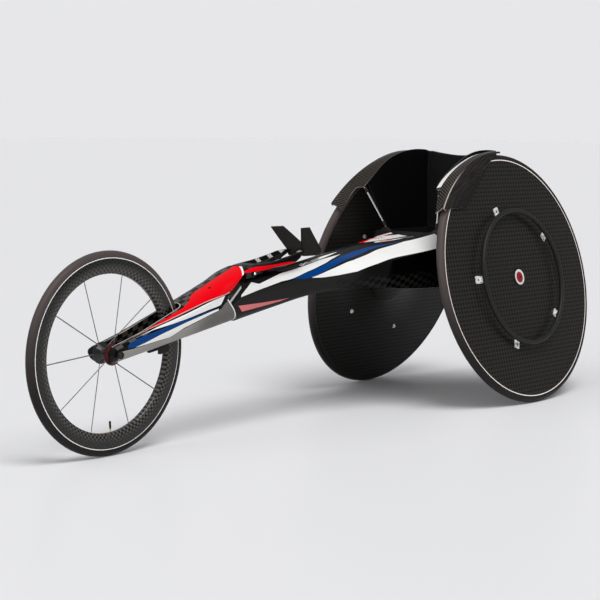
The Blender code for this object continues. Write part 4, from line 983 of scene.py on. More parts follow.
back_cloth = cloth_finish("back_cloth", (0.0045, 0.0045, 0.0048), (0.011, 0.011, 0.0115), 0.0022)
back_pad = swollen("back_pad", "backrest", 0.0004, BACK_VOXEL, BACK_CAP, back_sewn, back_hold, back_cloth)
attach(back_pad, "chair")
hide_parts("backrest")
hem_half = back_corner.x - TAPE_R
hem = [Vector((hem_half * share, back_middle_y, back_top(share) - TAPE_R))
       for share in (1.0, 0.75, 0.5, 0.25, 0.0, -0.25, -0.5, -0.75, -1.0)]
hem += [Vector((hem_half * share, back_middle_y, back_low + TAPE_R)) for share in (-1.0, -0.9, 0.9, 1.0)]
bias_tape = worn("bias_tape", (0.016, 0.016, 0.017), 0.6, 300.0)
tape = piping("back_tape", rounded(hem), TAPE_R, bias_tape)
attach(tape, "chair")


# Seat cushion: a foam pad in a black knitted cover, cut to the tub's floor. The foam crowns it, the
# tub's walls hold its sides in, and a piping is sewn round its upper edge.
CUSHION_LOW = 0.3503
CUSHION_FRONT = 0.4120
CUSHION_REAR = 0.6220
CUSHION_VOXEL = 0.005
CUSHION_CAP = 0.014
PIPING_R = 0.0022


def cushion_hold(point):
    """The point moved back inside the tub's walls and above its floor."""
    half = tub_inner_half(point.y) - 0.0015
    return Vector((min(half, max(-half, point.x)), min(CUSHION_REAR, max(CUSHION_FRONT, point.y)),
                   max(CUSHION_LOW, point.z)))


cushion_cloth = cloth_finish("cushion_cloth", (0.005, 0.005, 0.0055), (0.012, 0.012, 0.013), 0.0030)
cushion = swollen("seat_pad", "seat_cushion", 0.0025, CUSHION_VOXEL, CUSHION_CAP, lambda point: False,
                  cushion_hold, cushion_cloth)
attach(cushion, "chair")
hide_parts("seat_cushion")
edge = []
for share in (0.0, 0.1, 0.25, 0.5, 0.75, 0.9, 1.0):
    y = blend(CUSHION_FRONT + 0.012, CUSHION_REAR - 0.012, share)
    edge.append(Vector((tub_inner_half(y) - 0.014, y, 0.0)))
edge += mirrored(edge)
sewn_on = []
cushion_now = evaluated(cushion)
for point in rounded(edge, 4):
    hit, place = cushion_now.ray_cast(Vector((point.x, point.y, 0.5)), Vector((0, 0, -1)))[:2]
    if hit:
        sewn_on.append(place)
cushion_piping = piping("seat_piping", sewn_on, PIPING_R, bias_tape)
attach(cushion_piping, "chair")


# Disc wheels: a flat woven carbon disc with a thicker boss inside, a narrow tubular tyre glued
# round its edge, and a turned hub. Each wheel leans in at the top, so the two are mirrored.
WHEEL_STEPS = 192
DISC_HALF = 0.0105
BOSS_R = 0.098
BOSS_DEPTH = 0.007
HUB_R = 0.024
SEAT_GAP = 0.0002
WEAVE_PITCH = 0.0122
WEAVE_ROW = 0.0110
LINE_R = 0.3190
LINE_WIDTH = 0.0026
INNER_FACE_SHIFT = 10.0
HUB_RING_R = 0.0207
HUB_RED_R = 0.0138


def lathe(outline, steps, closed=True):
    """Turn an outline of (along, radius) points about the X axis."""
    bm = bmesh.new()
    verts = [bm.verts.new((along, 0.0, radius)) for along, radius in outline]
    following = verts[1:] + verts[:1] if closed else verts[1:]
    edges = [bm.edges.new((a, b)) for a, b in zip(verts, following)]
    bmesh.ops.spin(bm, geom=verts + edges, cent=(0, 0, 0), axis=(1, 0, 0), angle=2 * math.pi,
                   steps=steps, use_merge=True)
    bmesh.ops.remove_doubles(bm, verts=bm.verts, dist=1e-6)
    bmesh.ops.recalc_face_normals(bm, faces=bm.faces)
    return bm


def ring_outline(centre, radius, points, start=0.0):
    return [(radius * math.sin(start + 2 * math.pi * k / points),
             centre + radius * math.cos(start + 2 * math.pi * k / points)) for k in range(points)]


def seat_outline(centre, radius, half, steps=10):
    """Hollow that holds a tubular tyre, from one rim edge to the other."""
    reach = math.asin(half / radius)
    turns = [reach * (2 * k / steps - 1) for k in range(steps + 1)]
    return [(radius * math.sin(t), centre - radius * math.cos(t)) for t in turns]


def tyre_finish():
    """Black tubular casing, finely grained, with a pale highlight painted on the front of the rear tyres."""
    material, shader = finish("tyre_casing", (0.02, 0.018, 0.017), 0.42, specular=0.12)
    y, z = object_fields(material)[1:]
    black = noise(material, 60.0).mix((0.008, 0.0068, 0.0066, 1), (0.020, 0.0165, 0.016, 1))
    # painted highlight: the casing is paler ahead of the rear axles and above its lowest part
    dust_and_sheen = y.fade(0.46, 0.30) * z.fade(0.12, 0.42)
    join_to(shader, "Base Color", dust_and_sheen.mix(black, (0.078, 0.063, 0.061, 1)))
    raise_surface(shader, noise(material, 900.0, 2.0), 0.0002, 0.5)
    return material


def disc_finish():
    """Clear-coated weave seen as rows of dots, with the pale pinstripe near the wheel's edge."""
    material, shader = finish("disc_weave", (0.012, 0.012, 0.012), 0.34, coat=0.05,
                              coat_roughness=0.12, specular=0.08)
    u, v = map_fields(material)
    spot = ((u / WEAVE_PITCH).fract() < 0.5) * ((v / WEAVE_ROW).fract() < 0.5)
    radius = (u * u + v * v).root()
    cloth = spot.mix((0.0225, 0.0210, 0.0185, 1), (0.0003, 0.0003, 0.0003, 1))
    cloth = ((noise(material, 3.0) - 0.35) * 0.5).mix(cloth, (0.0085, 0.008, 0.007, 1))
    outer_face = u < INNER_FACE_SHIFT / 2
    line = ((radius - LINE_R).size() < LINE_WIDTH / 2) * outer_face
    edge = (radius > LINE_R + 0.0012) * outer_face
    cloth = edge.mix(cloth, (0.03, 0.027, 0.026, 1))
    join_to(shader, "Base Color", line.mix(cloth, (0.92, 0.84, 0.78, 1)))
    join_to(shader, "Roughness", 0.30 + spot * 0.14)
    raise_surface(shader, spot, 0.00010, 0.4)
    return material


casing = tyre_finish()
disc_weave = disc_finish()
white_ring, shader = finish("hub_white", (0.70, 0.70, 0.69), 0.32, coat=0.4)
x, y, z = object_fields(white_ring)
hub_up = (z - REAR_HUB_Z) * math.cos(CAMBER) - (x.size() - HALF_TRACK) * math.sin(CAMBER)
hub_radius = (hub_up * hub_up + (y - REAR_AXLE_Y) * (y - REAR_AXLE_Y)).root()
hub_tone = noise(white_ring, 60.0)
hub_paint = hub_tone.mix((0.58, 0.58, 0.57, 1), (0.80, 0.80, 0.79, 1))
hub_paint = (hub_radius > HUB_RING_R).mix(hub_paint, (0.012, 0.012, 0.012, 1))
join_to(shader, "Base Color", (hub_radius < HUB_RED_R).mix(hub_paint, (0.40, 0.008, 0.015, 1)))
join_to(shader, "Roughness", 0.26 + hub_tone * 0.12)
red_metal = worn("axle_red", (0.40, 0.008, 0.015), 0.3, metallic=0.6, coat=0.3)
button_black = worn("button_black", (0.012, 0.012, 0.012), 0.36)
bearing_steel = worn("bearing_steel", (0.5, 0.5, 0.5), 0.3, 120.0, metallic=1.0)

for side, label in SIDES:
    place = wheel_place(side)
    body = "wheel_" + label
    tyre_centre = WHEEL_R - TYRE_R
    casing_bm = lathe(ring_outline(tyre_centre, TYRE_R, 28), WHEEL_STEPS)
    tyre = piece("tyre_" + label, casing_bm, [casing], place, 60)
    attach(tyre, body)
    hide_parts("rear_tyre_" + label)
    boss = -DISC_HALF - BOSS_DEPTH
    outline = seat_outline(tyre_centre, TYRE_R + SEAT_GAP, DISC_HALF) + [
        (DISC_HALF, 0.26), (DISC_HALF, 0.17), (DISC_HALF, 0.08), (DISC_HALF, HUB_R + BORE_ROOM),
        (boss, HUB_R + BORE_ROOM), (boss, BOSS_R - BOSS_DEPTH - 0.002),
        (boss + 0.0008, BOSS_R - BOSS_DEPTH), (-DISC_HALF - 0.001, BOSS_R - 0.001),
        (-DISC_HALF, BOSS_R + 0.001), (-DISC_HALF, 0.20), (-DISC_HALF, 0.27)]
    disc = piece("disc_" + label, lathe(outline, WHEEL_STEPS), [disc_weave], place, 30,
                 chart=lambda co: (co.y if co.x > 0 else co.y + INNER_FACE_SHIFT, co.z))
    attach(disc, body)
    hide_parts("wheel_disc_" + label)
    dress(white_ring, "rear_hub_" + label)
    dress(red_metal, "axle_" + label)
    dress(button_black, "axle_button_" + label)
    dress(bearing_steel, "rear_bearing_inner_" + label, "rear_bearing_outer_" + label)


# Push rings: a rubber-coated ring that the sitter strikes, held off each disc by five small
# drilled metal plates screwed to the disc, each with a post that runs up into the ring.
RING_R = 0.1785
RING_TUBE = 0.0065
RING_OFF = 0.0275
TAB_R = 0.186
TAB_HALF_WIDTH = 0.010
TAB_LENGTH = 0.024
TAB_THICK = 0.002
TAB_HOLE_R = 0.004
TAB_HOLE_AT = 0.0015
TAB_TURN = math.radians(16.6)
TAB_COUNT = 5
RING_STEPS = 160


def merge(*parts):
    """Several separate bodies in one mesh."""
    whole = bmesh.new()
    for part in parts:
        scratch = bpy.data.meshes.new("scratch")
        part.to_mesh(scratch)
        part.free()
        whole.from_mesh(scratch)
        bpy.data.meshes.remove(scratch)
    return whole


def drilled_plate(thickness, half_width, length, hole_r, hole_at, corner, steps=32):
    """A flat plate with rounded corners and one round hole, its length along local Z."""
    bm = bmesh.new()
    outline = []
    for k in range(steps):
        turn = 2 * math.pi * (k + 0.5) / steps
        x, z = math.cos(turn), math.sin(turn)
        reach = 1.0 / max(abs(x) / half_width, abs(z) / (length / 2))
        y, h = x * reach, z * reach
        over_y = max(0.0, abs(y) - (half_width - corner))
        over_h = max(0.0, abs(h) - (length / 2 - corner))
        if over_y > 0 and over_h > 0:
            pull = corner / math.hypot(over_y, over_h)
            y = math.copysign(half_width - corner + over_y * pull, y)
            h = math.copysign(length / 2 - corner + over_h * pull, h)
        outline.append((y, h, hole_r * x, hole_at + hole_r * z))
    loops = []
    for depth, edge in ((0.0, 0), (0.0, 2), (thickness, 2), (thickness, 0)):
        loops.append([bm.verts.new((depth, row[edge], row[edge + 1])) for row in outline])
    for near, far in zip(loops, loops[1:] + loops[:1]):
        for k in range(steps):
            j = (k + 1) % steps
            bm.faces.new((near[k], near[j], far[j], far[k]))
    bmesh.ops.recalc_face_normals(bm, faces=bm.faces)
    return bm


def screw_head(radius, height, steps):
    """A low domed head with a socket in it, standing out along X."""
    outline = ((0.0, 0.0), (0.0, radius), (0.0012, radius), (height, radius - 0.0008),
               (height, radius - 0.0020), (0.0010, radius - 0.0022), (0.0010, 0.0))
    return lathe(outline, steps, False)


def ring_finish():
    """Matt black moulded rubber, a little polished where the gloves strike it."""
    material, shader = finish("ring_rubber", (0.012, 0.012, 0.012), 0.45, specular=0.2)
    patchy = noise(material, 35.0)
    join_to(shader, "Roughness", 0.36 + patchy * 0.26)
    join_to(shader, "Base Color", patchy.mix((0.009, 0.009, 0.009, 1), (0.017, 0.017, 0.017, 1)))
    raise_surface(shader, noise(material, 1200.0, 2.0), 0.0002, 0.35)
    return material


ring_rubber = ring_finish()
tab_metal = worn("tab_metal", (0.92, 0.92, 0.91), 0.32, 90.0, metallic=0.3)
screw_steel = worn("screw_steel", (0.36, 0.36, 0.37), 0.3, 200.0, metallic=1.0)

for side, label in SIDES:
    place = wheel_place(side)
    torus = lathe(ring_outline(RING_R, RING_TUBE, 24), RING_STEPS)
    torus = moved(torus, Matrix.Translation((RING_OFF, 0, 0)))
    ring = piece("push_ring_rubber_" + label, torus, [ring_rubber], place, 60)
    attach(ring, "wheel_" + label)
    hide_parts("push_ring_" + label)
    tabs = []
    screws = []
    foot = DISC_HALF + SEAT_GAP
    rest = foot + 0.0005
    tail = -DISC_HALF
    for i in range(TAB_COUNT):
        turn = Matrix.Rotation(TAB_TURN + i * 2 * math.pi / TAB_COUNT, 4, "X")
        plate = drilled_plate(TAB_THICK, TAB_HALF_WIDTH, TAB_LENGTH, TAB_HOLE_R, TAB_HOLE_AT, 0.003)
        plate = moved(plate, Matrix.Translation((foot, 0, TAB_R)))
        post = block((rest, -0.006, RING_R - 0.002), (RING_OFF, 0.006, RING_R + 0.002), 0.0006)
        gusset = block((rest, -0.0095, RING_R - 0.0068), (foot + 0.005, 0.0095, RING_R - 0.0045), 0.0006)
        head = moved(screw_head(0.0034, 0.0020, 20), Matrix.Translation((foot, 0, TAB_R + TAB_HOLE_AT)))
        bolt = lathe([(tail, 0.0), (tail, 0.0062), (tail - 0.0014, 0.0062), (tail - 0.0014, 0.0044),
                      (tail - 0.0048, 0.0044), (tail - 0.0048, 0.0)], 6, False)
        bolt = moved(bolt, Matrix.Translation((0, 0, TAB_R - 0.001)))
        tabs += [moved(part, turn) for part in (plate, post, gusset, bolt)]
        screws.append(moved(head, turn))
    plates = piece("ring_tabs_" + label, merge(*tabs), [tab_metal], place, 30)
    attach(plates, "wheel_" + label)
    heads = piece("ring_screws_" + label, merge(*screws), [screw_steel], place, 30)
    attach(heads, "wheel_" + label)


# Front wheel: a deep woven carbon rim with a narrow tubular tyre, ten thin bladed spokes, a
# black hub with two flanges, sealed bearings, and a valve through the rim.
FRONT_STEPS = 160
FRONT_TYRE_R = 0.0105
FRONT_AXLE = Vector((0.0, -0.693, 0.22851))
FRONT_PLACE = Matrix.Translation(FRONT_AXLE)
RIM_INNER = 0.177
RIM_OUTER = 0.200
RIM_HALF = 0.0115
RIM_SHOULDER = 0.0098
RIM_SQUARES = 126
RIM_ROW = 0.0092
VALVE_CAP_Z = 0.0590


def rim_finish():
    """Glossy plain weave in large squares round the rim, its light squares painted brighter toward the inner
    edge as a highlight, with a pale pinstripe by the tyre.
    """
    material, shader = finish("rim_weave", (0.012, 0.012, 0.012), 0.3, coat=0.35, coat_roughness=0.06)
    round_rim, row = map_fields(material)
    warp_up, height = plain_weave(round_rim, row, 0.62)
    # painted highlight: the light squares are brighter toward the rim's inner edge
    painted_lit_weave = row.fade(0.6, 2.6).mix((0.085, 0.078, 0.068, 1), (0.016, 0.015, 0.013, 1))
    cloth = warp_up.mix((0.006, 0.0057, 0.005, 1), painted_lit_weave)
    line = (row - 3.86).size() < 0.09
    join_to(shader, "Base Color", line.mix(cloth, (0.95, 0.92, 0.88, 1)))
    join_to(shader, "Roughness", 0.26 + warp_up * 0.14)
    raise_surface(shader, height, 0.00012, 0.6)
    return material


def rim_chart(co):
    """A point's place on the rim, in squares round it and rows out from its inner edge."""
    turn = math.atan2(co.y, co.z) / (2 * math.pi) * RIM_SQUARES
    return (turn, abs(math.hypot(co.y, co.z) - RIM_INNER) / RIM_ROW)


rim_weave = rim_finish()
front_centre = FRONT_AXLE.z - FRONT_TYRE_R
casing_bm = lathe(ring_outline(front_centre, FRONT_TYRE_R, 28), FRONT_STEPS)
tyre = piece("front_tyre_casing", casing_bm, [casing], FRONT_PLACE, 60)
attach(tyre, "front_wheel")
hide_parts("front_tyre")

flank = []
for k in range(12):
    turn = 0.5 * math.pi * k / 12
    flank.append((RIM_HALF * math.cos(turn) ** 0.55,
                  RIM_OUTER - (RIM_OUTER - RIM_INNER) * math.sin(turn) ** 0.9))
outline = seat_outline(front_centre, FRONT_TYRE_R + SEAT_GAP, RIM_SHOULDER)
outline += flank + [(0.0, RIM_INNER)] + [(-out, radius) for out, radius in reversed(flank)]
rim_bm = lathe(outline, FRONT_STEPS)
rim = piece("front_rim_shell", rim_bm, [rim_weave], FRONT_PLACE, 40, chart=rim_chart)
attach(rim, "front_wheel")
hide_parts("front_rim")
hub_black = worn("hub_black", (0.014, 0.013, 0.013), 0.3, coat=0.3)
spoke_steel = worn("spoke_steel", (0.16, 0.16, 0.165), 0.5, 150.0, metallic=0.6)
valve_brass, shader = finish("valve_brass", (0.62, 0.45, 0.22), 0.35, metallic=0.6)
brass = noise(valve_brass, 300.0).mix((0.60, 0.48, 0.30, 1), (0.85, 0.74, 0.55, 1))
valve_cap = object_fields(valve_brass)[2] > VALVE_CAP_Z
join_to(shader, "Base Color", valve_cap.mix(brass, (0.008, 0.008, 0.008, 1)))
dress(hub_black, "front_hub", "front_axle")
dress(bearing_steel, "front_bearing_left", "front_bearing_right")
face_band = lathe([(0.0193, 0.0165), (0.0203, 0.0168), (0.0203, 0.0218), (0.0193, 0.0221)], 48)
hub_band = piece("front_hub_band", face_band, [red_metal], FRONT_PLACE, 30)
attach(hub_band, "front_wheel")
dress(spoke_steel, *["spoke_%02d" % (k + 1) for k in range(10)])
dress(valve_brass, "valve")
dress(button_black, "axle_nut_left", "axle_nut_right")


# Fork: one hollow carbon moulding that straddles the back of the front wheel. It is black with a
# red panel on each flank, white and blue stripes under it, and a bare satin underside.
TIP_HALF_WIDTH = 0.041
FORK_HALF_WIDTH = 0.0455
TIP_REACH = 0.017
FORK_REAR_Y = -0.273
FORK_RINGS = 90
# Each row holds the height over the front axle and the slope of the ridge, the crease and the underside.
FORK_LINES = ((0.2400, 0.389), (0.2442, 0.285), (0.2040, 0.168))
ROUND_FORK_Y = -0.420
SQUARE_FORK_Y = -0.292
SLOT_HALF = 0.0228
SLOT_END_Y = -0.3664
SLOT_LEAN = -0.34
FORK_BACK = -0.0420
NOSE_ROOM = 0.0018
STEERING_PIN_R = 0.0095
PIN_FOOT = -0.1123
AXLE_R = 0.005


def prism(outline, reach):
    """A flat outline pushed a straight way."""
    bm = bmesh.new()
    face = bm.faces.new([bm.verts.new(point) for point in outline])
    lifted = bmesh.ops.extrude_face_region(bm, geom=[face])
    far = [part for part in lifted["geom"] if isinstance(part, bmesh.types.BMVert)]
    bmesh.ops.translate(bm, verts=far, vec=reach)
    bmesh.ops.recalc_face_normals(bm, faces=bm.faces)
    return bm


def fork_levels(y):
    """Heights of the fork at one place: crown, side crease, belt line and underside."""
    run = y - FRONT_AXLE.y
    ridge, straight, bottom = (height + slope * run for height, slope in FORK_LINES)
    crease = straight + 0.0265 * ease(y, ROUND_FORK_Y, SQUARE_FORK_Y)
    crown = max(crease + 0.004, ridge)
    belt = bottom + (straight - bottom) * blend(0.70, 0.57, ease(run, 0.0, 0.30))
    return crown, crease, belt, bottom


def fork_ring(y):
    """Section of the fork: crowned top, creased flat flank and a round underside."""
    crown, crease, belt, bottom = fork_levels(y)
    half_width = blend(TIP_HALF_WIDTH, FORK_HALF_WIDTH, ease(y, FRONT_AXLE.y + 0.015, FRONT_AXLE.y + 0.15))
    inset = half_width - 0.002
    fullness = blend(0.95, 0.50, ease(y, ROUND_FORK_Y, SQUARE_FORK_Y))
    half = bowed(Vector((0, y, crown)), Vector((fullness * inset, y, crown)), Vector((inset, y, crease)), 12)
    half += [Vector((inset, y, crease)), Vector((half_width, y, crease - 0.0025)),
             Vector((half_width, y, (crease + belt) / 2))]
    half += [Vector((half_width * math.cos(turn), y, belt - (belt - bottom) * math.sin(turn)))
             for turn in evenly(0.0, math.pi / 2, 14)]
    return half + mirrored(half[1:-1])


def fork_livery(x, along, down, flank):
    """White, blue and red of the flanks, and a painted highlight and painted shade as two thin lines under
    the red, in order of painting.
    """
    low_white = stripe(along, flank,
                       [(-0.645, 0.0576), (-0.5732, 0.0617), (-0.4874, 0.0692), (-0.383, 0.0826)],
                       [(-0.645, 0.0577), (-0.5924, 0.0692), (-0.5388, 0.0822), (-0.4979, 0.0785),
                        (-0.4506, 0.0822), (-0.383, 0.0868)])
    high_white = stripe(along, flank, [(-0.640, 0.0360), (-0.5886, 0.0394), (-0.5383, 0.0448),
                                      (-0.4852, 0.0501), (-0.4114, 0.0560), (-0.3606, 0.0604)],
                        [(-0.640, 0.0362), (-0.5901, 0.0416), (-0.5380, 0.0529), (-0.4874, 0.0617),
                         (-0.3944, 0.0752), (-0.3754, 0.0769), (-0.3606, 0.0604)])
    blue = stripe(along, flank, [(-0.6670, 0.0460), (-0.6593, 0.0414), (-0.6254, 0.0417), (-0.5867, 0.0479),
                                (-0.5380, 0.0540), (-0.4874, 0.0633), (-0.3830, 0.0820)],
                  [(-0.6670, 0.0506), (-0.6467, 0.0568), (-0.6070, 0.0590), (-0.5732, 0.0617),
                   (-0.5381, 0.0642), (-0.4874, 0.0692), (-0.4320, 0.0764), (-0.3830, 0.0826)])
    red_top = [(-0.6000, 0.0285), (-0.5441, 0.0301), (-0.4844, 0.0315), (-0.4596, 0.0237),
               (-0.4307, 0.0041), (-0.3622, 0.0015), (-0.2730, 0.0015)]
    red_low = [(-0.6000, 0.0290), (-0.5515, 0.0381), (-0.4934, 0.0430), (-0.4282, 0.0485),
               (-0.3597, 0.0575), (-0.2730, 0.0630)]
    edge = painted_line(along, red_low)
    red = (down > painted_line(along, red_top)) * (flank < edge) * (along > -0.600)
    red = red * ((x > 0.0).most(down > 0.0475))
    # painted highlight and painted shade along the crease under the red: a pale line, then a dark red one
    crease_lines = (flank > edge) * (along > -0.632) * (along < -0.345)
    return [(low_white.most(high_white), WHITE), (blue, BLUE), (red, RED),
            (crease_lines * (flank < edge + 0.0022), (0.62, 0.36, 0.34, 1)),
            (crease_lines * (flank > edge + 0.0022) * (flank < edge + 0.0034), (0.20, 0.0, 0.004, 1))]


def fork_seams(x, y, z, down):
    """Pale rim of the slot, white seams at the steering head, and a small dark spot of painted shade for a
    hole on each side.
    """
    past = (y - z * SLOT_LEAN - (SLOT_END_Y - SLOT_HALF)).most(0.0)
    from_slot = (x * x + past * past).root() - SLOT_HALF
    from_head_y = y - HEAD_CENTRE.y
    from_head_z = z - HEAD_CENTRE.z
    from_end = from_head_y * HEAD_BACK.y + from_head_z * HEAD_BACK.z - FORK_BACK
    up_head = from_head_y * HEAD_AXIS.y + from_head_z * HEAD_AXIS.z
    low_seam = (up_head > HEAD_BOTTOM - 0.0042) * (from_end > -0.003) * (down > 0.0785)
    seam = ((from_end > -0.0024) * (down < 0.0475)).most(low_seam)
    reach = x.size() - 0.0224
    # painted shade: a small dark spot on each side stands for a hole, which is not cut
    painted_hole_shade = (reach * reach + (y + 0.390) * (y + 0.390)).root() < 0.0034
    return [((from_slot < 0.0024) * (down < 0.06), (0.44, 0.43, 0.41, 1)), (seam, WHITE),
            (painted_hole_shade * (down < 0.05), (0.003, 0.003, 0.003, 1))]


def fork_finish():
    """Lacquered carbon with the livery laid on, and bare satin carbon underneath, painted grey for the
    floor's reflection and paler toward the blade tips.
    """
    material, shader = finish("fork_lacquer", BLACK, 0.25, coat=0.08, coat_roughness=0.03, specular=0.06)
    x, y, z = object_fields(material)
    along, down = map_fields(material)
    flank = down - y.fade(ROUND_FORK_Y, SQUARE_FORK_Y) * 0.0085
    squares = chequers(y, x, 0.020, 0.016) * (down < 0.043)
    colour = squares.mix((0.003, 0.003, 0.003, 1), (0.085, 0.074, 0.064, 1))
    bare = stripe(along, flank,
                  [(-0.690, 0.0500), (-0.643, 0.0597), (-0.5922, 0.0706), (-0.5381, 0.0832),
                   (-0.5048, 0.0803), (-0.4504, 0.0836), (-0.3754, 0.0868), (-0.3601, 0.0783),
                   (-0.270, 0.0783)],
                  [(-0.690, 0.20), (-0.270, 0.20)])
    # painted reflection: the bare underside is painted grey for the floor it reflects, paler toward the
    # blade tips
    grain = noise(material, 500.0, 1.0)
    satin_and_reflection = y.fade(-0.50, -0.40).mix(grain.mix((0.25, 0.24, 0.22, 1), (0.40, 0.385, 0.36, 1)),
                                     grain.mix((0.105, 0.100, 0.090, 1), (0.185, 0.178, 0.165, 1)))
    for shape, paint in [(bare, satin_and_reflection)] + fork_livery(x, along, down, flank) + fork_seams(x, y, z, down):
        colour = shape.mix(colour, paint)
    join_to(shader, "Base Color", colour)
    join_to(shader, "Roughness", 0.24 + bare * 0.22)
    raise_surface(shader, grain * bare, 0.0001, 0.4)
    return material


def slot_finish():
    """Faint chequered weave on the walls of the wheel's slot."""
    material, shader = finish("slot_weave", BLACK, 0.3, coat=0.1, specular=0.06)
    y, z = object_fields(material)[1:]
    squares = chequers(y, z - y * 0.36, 0.016, 0.012)
    join_to(shader, "Base Color", squares.mix((0.003, 0.003, 0.003, 1), (0.045, 0.040, 0.034, 1)))
    return material


fork_lacquer = fork_finish()
shell = skin([fork_ring(y) for y in evenly(FRONT_AXLE.y - TIP_REACH, FORK_REAR_Y, FORK_RINGS)])
crown, crease, belt, bottom = fork_levels(FRONT_AXLE.y)
radius = (crown - bottom) / 2 + 0.0015
centre = Vector((-0.08, FRONT_AXLE.y + radius - TIP_REACH, (crown + bottom) / 2))
tip = [centre - radius * Vector((0, math.sin(turn), math.cos(turn))) for turn in evenly(0.0, math.pi, 24)]
tip += [centre + Vector((0, y, z)) for y, z in ((0, 0.08), (-0.08, 0.08), (-0.08, -0.08), (0, -0.08))]
slot_centre = Vector((0, SLOT_END_Y - SLOT_HALF, 0))
slot = [slot_centre + SLOT_HALF * Vector((math.cos(turn), math.sin(turn), 0))
        for turn in evenly(0.0, math.pi, 32)]
slot += [Vector((-SLOT_HALF, -0.9, 0)), Vector((SLOT_HALF, -0.9, 0))]
shell = cut(shell, prism(slot, (0, 0.6 * SLOT_LEAN, 0.6)), face_material=2)
notch_floor = HEAD_BOTTOM - 0.001
for tool in (prism(tip, (0.16, 0, 0)),
             moved(block((-0.2, FORK_BACK, notch_floor), (0.2, 0.3, 0.4)), place_head),
             moved(rod(NOSE_R + NOSE_ROOM, (0, 0, notch_floor), (0, 0, 0.1), 96), place_head),
             moved(rod(STEERING_PIN_R + BORE_ROOM, (0, 0, PIN_FOOT), (0, 0, 0.1)), place_head),
             rod(AXLE_R + BORE_ROOM, FRONT_AXLE - Vector((0.1, 0, 0)), FRONT_AXLE + Vector((0.1, 0, 0)))):
    shell = cut(shell, tool, face_material=1)
slot_weave = slot_finish()
fork_shell = piece("fork_shell", shell, [fork_lacquer, black_gloss, slot_weave], sharp=32)
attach(fork_shell, "steered_fork")
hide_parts("fork")


# Steering head and brake: a silver tube and pin turn on two sealed bearings, and a moulded shoe
# hangs inside each blade of the fork beside the rim.
shoe_rubber = worn("shoe_rubber", (0.010, 0.0095, 0.009), 0.5, 90.0)
dress(shoe_rubber, "brake_shoe_left", "brake_shoe_right")
dress(silver, "head_tube", "steering_pin", "head_bearing_lower", "head_bearing_upper")


# Yoke: a carbon moulding clamped on the steering pin, with two arms that reach back over the
# frame. Each arm has a red stripe down its side, and small chequered blocks run along the top.
YOKE_HALF_WIDTH = 0.046
YOKE_FRONT_Y = -0.330
YOKE_REAR_Y = -0.034
YOKE_RINGS = 80
YOKE_STATIONS = (
    (YOKE_FRONT_Y, 0.3945, 0.3610),
    (-0.2900, 0.3985, 0.3650),
    (-0.2420, 0.4015, 0.3760),
    (-0.1950, 0.4050, 0.3882),
    (-0.1540, 0.4115, 0.3918),
    (-0.1100, 0.4205, 0.3965),
    (-0.0870, 0.4243, 0.4100),
    (-0.0620, 0.4265, 0.4200),
    (YOKE_REAR_Y, 0.4255, 0.4190),
)
YOKE_PLAN = ((0.056, -0.340), (0.056, -0.104), (0.047, -0.098), (0.0275, -0.064), (0.0265, -0.030),
             (0.0175, -0.030), (0.0165, -0.064), (0.0185, -0.125), (0.003, -0.165))
TROUGH_FRONT_Y = -0.236
TROUGH_REAR_Y = -0.066
TROUGH_DEPTH = 0.0092
CLAMP_R = 0.028
CLAMP_FOOT = 0.001
YOKE_BOLT = (0.0455, -0.2597, 0.3812)
BLOCKS_FROM_Y = -0.1870
BLOCK_PITCH = 0.0425


def oval_ring(y, half_width, top, bottom, belt, upper, lower, steps=14):
    """Section of two rounded halves that meet at the belt height."""
    points = []
    for k in range(4 * steps):
        turn = 2 * math.pi * k / (4 * steps)
        across, rise = math.sin(turn), math.cos(turn)
        power = 2.0 / (upper if rise > 0 else lower)
        height = top - belt if rise > 0 else belt - bottom
        points.append(Vector((half_width * math.copysign(abs(across) ** power, across), y,
                              belt + height * math.copysign(abs(rise) ** power, rise))))
    return points


def yoke_finish():
    """Black lacquer with the red stripe down each side and a row of speckled blocks on each arm."""
    material, shader = finish("yoke_lacquer", BLACK, 0.28, specular=0.04)
    x, y, z = object_fields(material)
    low = 0.42 - z
    squares = chequers(y, x, 0.016, 0.014) * (y < -0.240)
    colour = squares.mix((0.0025, 0.0025, 0.0025, 1), (0.034, 0.032, 0.030, 1))
    red = stripe(y, low, [(-0.335, 0.0262), (-0.2429, 0.0235), (-0.1965, 0.0211), (-0.137, 0.0174),
                          (-0.092, 0.0190)],
                 [(-0.335, 0.0370), (-0.2903, 0.0353), (-0.2437, 0.0334), (-0.1944, 0.0310),
                  (-0.137, 0.0269), (-0.106, 0.0236), (-0.092, 0.0192)])
    colour = (red * (x.size() > 0.0372)).mix(colour, RED)
    step = ((y - BLOCKS_FROM_Y) / BLOCK_PITCH).fract()
    on_arm = ((x.size() - 0.029).size() < 0.0062) * (y > BLOCKS_FROM_Y) * (z > 0.395)
    speckle = chequers(y, x, 0.0036, 0.0026).mix((0.62, 0.58, 0.54, 1), (0.24, 0.22, 0.20, 1))
    join_to(shader, "Base Color", ((step > 0.30) * (step < 0.62) * on_arm).mix(colour, speckle))
    join_to(shader, "Roughness", 0.24 + noise(material, 40.0) * 0.10)
    return material


